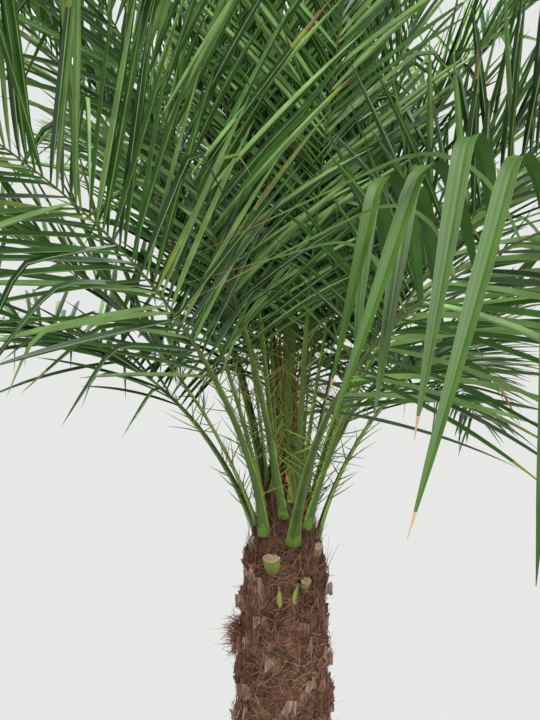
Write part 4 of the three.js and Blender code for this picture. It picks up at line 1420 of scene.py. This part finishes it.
class PALM_OT_leaflets(bpy.types.Operator):
    """Adds the leaflets of every frond"""

    bl_idname = "palm.leaflets"
    bl_label = "Leaflets"

    def execute(self, context):
        looks = context.scene.palm_fronds
        materials = [
            finished("leaf_deep", "glossy leaf", looks.deep),
            finished("leaf_middle", "glossy leaf", looks.middle),
            # Pale green, partly painted sheen.
            finished("leaf_light_and_painted_sheen", "glossy leaf", looks.light),
            finished("leaf_yellow", "glossy leaf", looks.yellow),
            finished("leaf_dry", "matt leaf", looks.dry),
            finished("leaf_under_deep", "matt leaf", shade(looks.middle, 0.74)),
            # Pale underside: partly its own greyish colour, partly painted sheen.
            finished("leaf_under", "matt leaf", looks.under),
            finished("leaf_blade", "long leaf", looks.long),
            finished("leaf_vein", "long vein", looks.long),
        ]
        for label, first, last in LEAFLET_GROUPS:
            shape = Shape()
            for number in range(first, last + 1):
                self.add_frond(shape, frond_plan(number), looks)
            nodes = FROND_NODES[first - 1 : last]
            finish_piece(shape.build(f"leaflets_{label}", materials, 30), "frond_green", *nodes)
        return {"FINISHED"}

    def add_frond(self, shape, plan, looks):
        """All leaflets of one frond."""
        rng = np.random.default_rng(100 + plan["number"])
        count = 2 * looks.pairs
        s = (np.arange(count) + 0.5) / count + rng.normal(0, 0.25 / count, count)
        s = np.clip(s, 0, 0.999)
        side = np.where((np.arange(count) + plan["number"]) % 2, 1, -1)
        if plan["number"] == HANGING_FROND:
            self.add_hanging(shape, plan)
            kept = (side > 0) & (s > 0.06)
            s, side = s[kept], side[kept]
        shape.sweep(leaflet_rings(plan, s, side, rng, looks), self.tones(plan["age"], len(s), rng))

    def add_hanging(self, shape, plan):
        """The long leaflets, which take the place of those on the hanging frond's right."""
        rings = hanging_rings(plan)
        upper, under = slice(0, len(VEINS_AT) - 1), slice(len(VEINS_AT) - 1, None)
        tones = np.full(rings[:, 1:, :, 0].shape, LONG)
        tones[:, :, VEIN_STRIPS] = LONG_VEIN
        # Undersides take a lighter green than the blade: painted light shining through the thin leaflets.
        tones[:, :, under] = UNDER_DEEP
        # The arches take lighter greens on both sides: painted light shining through them.
        tones[HANGING_ARCHES, :, upper] = MIDDLE
        tones[HANGING_ARCHES, :, under] = UNDER_MIDDLE
        tones[HANGING_ARCHES, -5:] = DRY
        tones[::2, -1:] = DRY
        shape.sweep(rings, tones)

    def tones(self, age, count, rng):
        """Material of each side face: greens, painted sheen on half of some, yellow and dry tips."""
        chances = mix(*np.array(UPPER_CHANCES), age)
        tone = rng.choice(4, count, p=chances / chances.sum())
        under = rng.choice(list(UNDER_CHANCES), count, p=list(UNDER_CHANCES.values()))
        under = np.where(tone == YELLOW, YELLOW, under)
        other = np.where(rng.random(count) < SAME_UNDERSIDE, under, UNDER_DEEP)
        # A lighter tone on one half of the fold: painted sheen, as if light fell on that side.
        lighter = np.choose(tone, [MIDDLE, LIGHT, LIGHT, YELLOW])
        painted_sheen = np.where(rng.random(count) < PAINTED_SHEEN_HALF, lighter, tone)
        # The keel along the midrib is pale: partly its own colour, partly a painted highlight.
        midrib = np.where(under == UNDER_DEEP, UNDER_MIDDLE, LIGHT)
        faces = LEAFLET_STEPS - 1
        tones = np.stack([painted_sheen, tone, under, midrib, other], -1)[:, None].repeat(faces, 1)
        worn = rng.random(count) < mix(*DRY_TIPS, age)
        dry_from = faces * np.where(worn, 1 - 0.2 * rng.random(count) ** 2, 2)[:, None, None]
        place = np.arange(faces)[None, :, None]
        tones = np.where(place >= dry_from - 1.5, YELLOW, tones)
        return np.where(place >= dry_from - 0.5, DRY, tones)


# Stage

FLOOR_RADIUS = 4.2
FLOOR_GREYS = ((0.38, 0.38, 0.37), (0.4, 0.4, 0.39))
FLOOR_LOW = -0.02
FLOOR_HIGH = -0.0005
SKY_COLOUR = (0.80, 0.81, 0.79, 1)
SKY_STRENGTH = {"From Min": -1, "To Min": 0.15, "To Max": 1.15}
LIGHTS = {"sky_light": ((-0.8, -1.6, 5.2), 2.6, 400), "front_light": ((2.6, -4.4, 3.2), 2.4, 110)}
LIT_PLACE = (0, 0, 1.4)
CAMERA_PLACE = (-0.015, -1.65, 1.31)
CAMERA_LENS = 51.25
CAMERA_PITCH = math.radians(7.3)
CAMERA_ROLL = math.radians(0.4)


class PALM_OT_stage(bpy.types.Operator):
    """Adds the pale floor, the soft light and the camera"""

    bl_idname = "palm.stage"
    bl_label = "Stage"

    def execute(self, context):
        scene = context.scene
        floor = Shape()
        corners = [(FLOOR_RADIUS, FLOOR_LOW), (FLOOR_RADIUS, FLOOR_HIGH), (0.01, FLOOR_HIGH)]
        floor.sweep(turned_rings(corners, LATHE_SIDES))
        floor.build("floor", [finished("floor_pale", "floor", *FLOOR_GREYS)], 30)

        world = bpy.data.worlds.new("soft_daylight")
        world.use_nodes = True
        tree = world.node_tree
        direction = add_node(tree, "ShaderNodeTexCoord").outputs["Generated"]
        height = add_node(tree, "ShaderNodeSeparateXYZ", {"Vector": direction}).outputs["Z"]
        sky = add_range(tree, height, SKY_STRENGTH)
        seen = add_node(tree, "ShaderNodeLightPath").outputs["Is Camera Ray"]
        strength = add_node(tree, "ShaderNodeMix", {0: seen, 2: sky, 3: 1.0}, data_type="FLOAT")
        background = tree.nodes["Background"]
        background.inputs["Color"].default_value = SKY_COLOUR
        tree.links.new(strength.outputs[0], background.inputs["Strength"])
        scene.world = world

        for name, (place, size, power) in LIGHTS.items():
            data = bpy.data.lights.new(name, "AREA")
            data.size = size
            data.energy = power
            lamp = bpy.data.objects.new(name, data)
            lamp.location = place
            aim = Vector(LIT_PLACE) - Vector(place)
            lamp.rotation_euler = aim.to_track_quat("-Z", "Y").to_euler()
            scene.collection.objects.link(lamp)

        camera = bpy.data.objects.new("camera", bpy.data.cameras.new("camera"))
        camera.data.lens = CAMERA_LENS
        camera.data.sensor_width = 36
        turn = Euler((math.pi / 2 + CAMERA_PITCH, 0, 0)).to_matrix() @ Matrix.Rotation(CAMERA_ROLL, 3, "Z")
        camera.matrix_world = Matrix.Translation(CAMERA_PLACE) @ turn.to_4x4()
        scene.collection.objects.link(camera)
        scene.camera = camera
        scene.view_settings.view_transform = "Standard"
        return {"FINISHED"}


OPERATORS = (
    PALM_OT_stage,
    PALM_OT_pot,
    PALM_OT_soil,
    PALM_OT_bark,
    PALM_OT_bases,
    PALM_OT_fibres,
    PALM_OT_stubs,
    PALM_OT_heart,
    PALM_OT_ribs,
    PALM_OT_spines,
    PALM_OT_leaflets,
)
LOOKS = {"palm_pot": PotLooks, "palm_stem": StemLooks, "palm_fronds": FrondLooks}


class PALM_PT_sidebar(bpy.types.Panel):
    """Lists the palm's pieces and their values"""

    bl_label = "Potted palm"
    bl_idname = "PALM_PT_sidebar"
    bl_space_type = "VIEW_3D"
    bl_region_type = "UI"
    bl_category = "Palm"

    def draw(self, context):
        for operator in OPERATORS:
            self.layout.operator(operator.bl_idname)
        for name, group in LOOKS.items():
            box = self.layout.box()
            for key in group.__annotations__:
                box.prop(getattr(context.scene, name), key)


CLASSES = (*LOOKS.values(), *OPERATORS, PALM_PT_sidebar)


def register():
    for cls in CLASSES:
        bpy.utils.register_class(cls)
    for name, group in LOOKS.items():
        setattr(bpy.types.Scene, name, PointerProperty(type=group))


def unregister():
    for name in LOOKS:
        delattr(bpy.types.Scene, name)
    for cls in reversed(CLASSES):
        bpy.utils.unregister_class(cls)


def main():
    register()
    for operator in OPERATORS:
        group, name = operator.bl_idname.split(".")
        getattr(getattr(bpy.ops, group), name)()


if __name__ == "__main__":
    main()
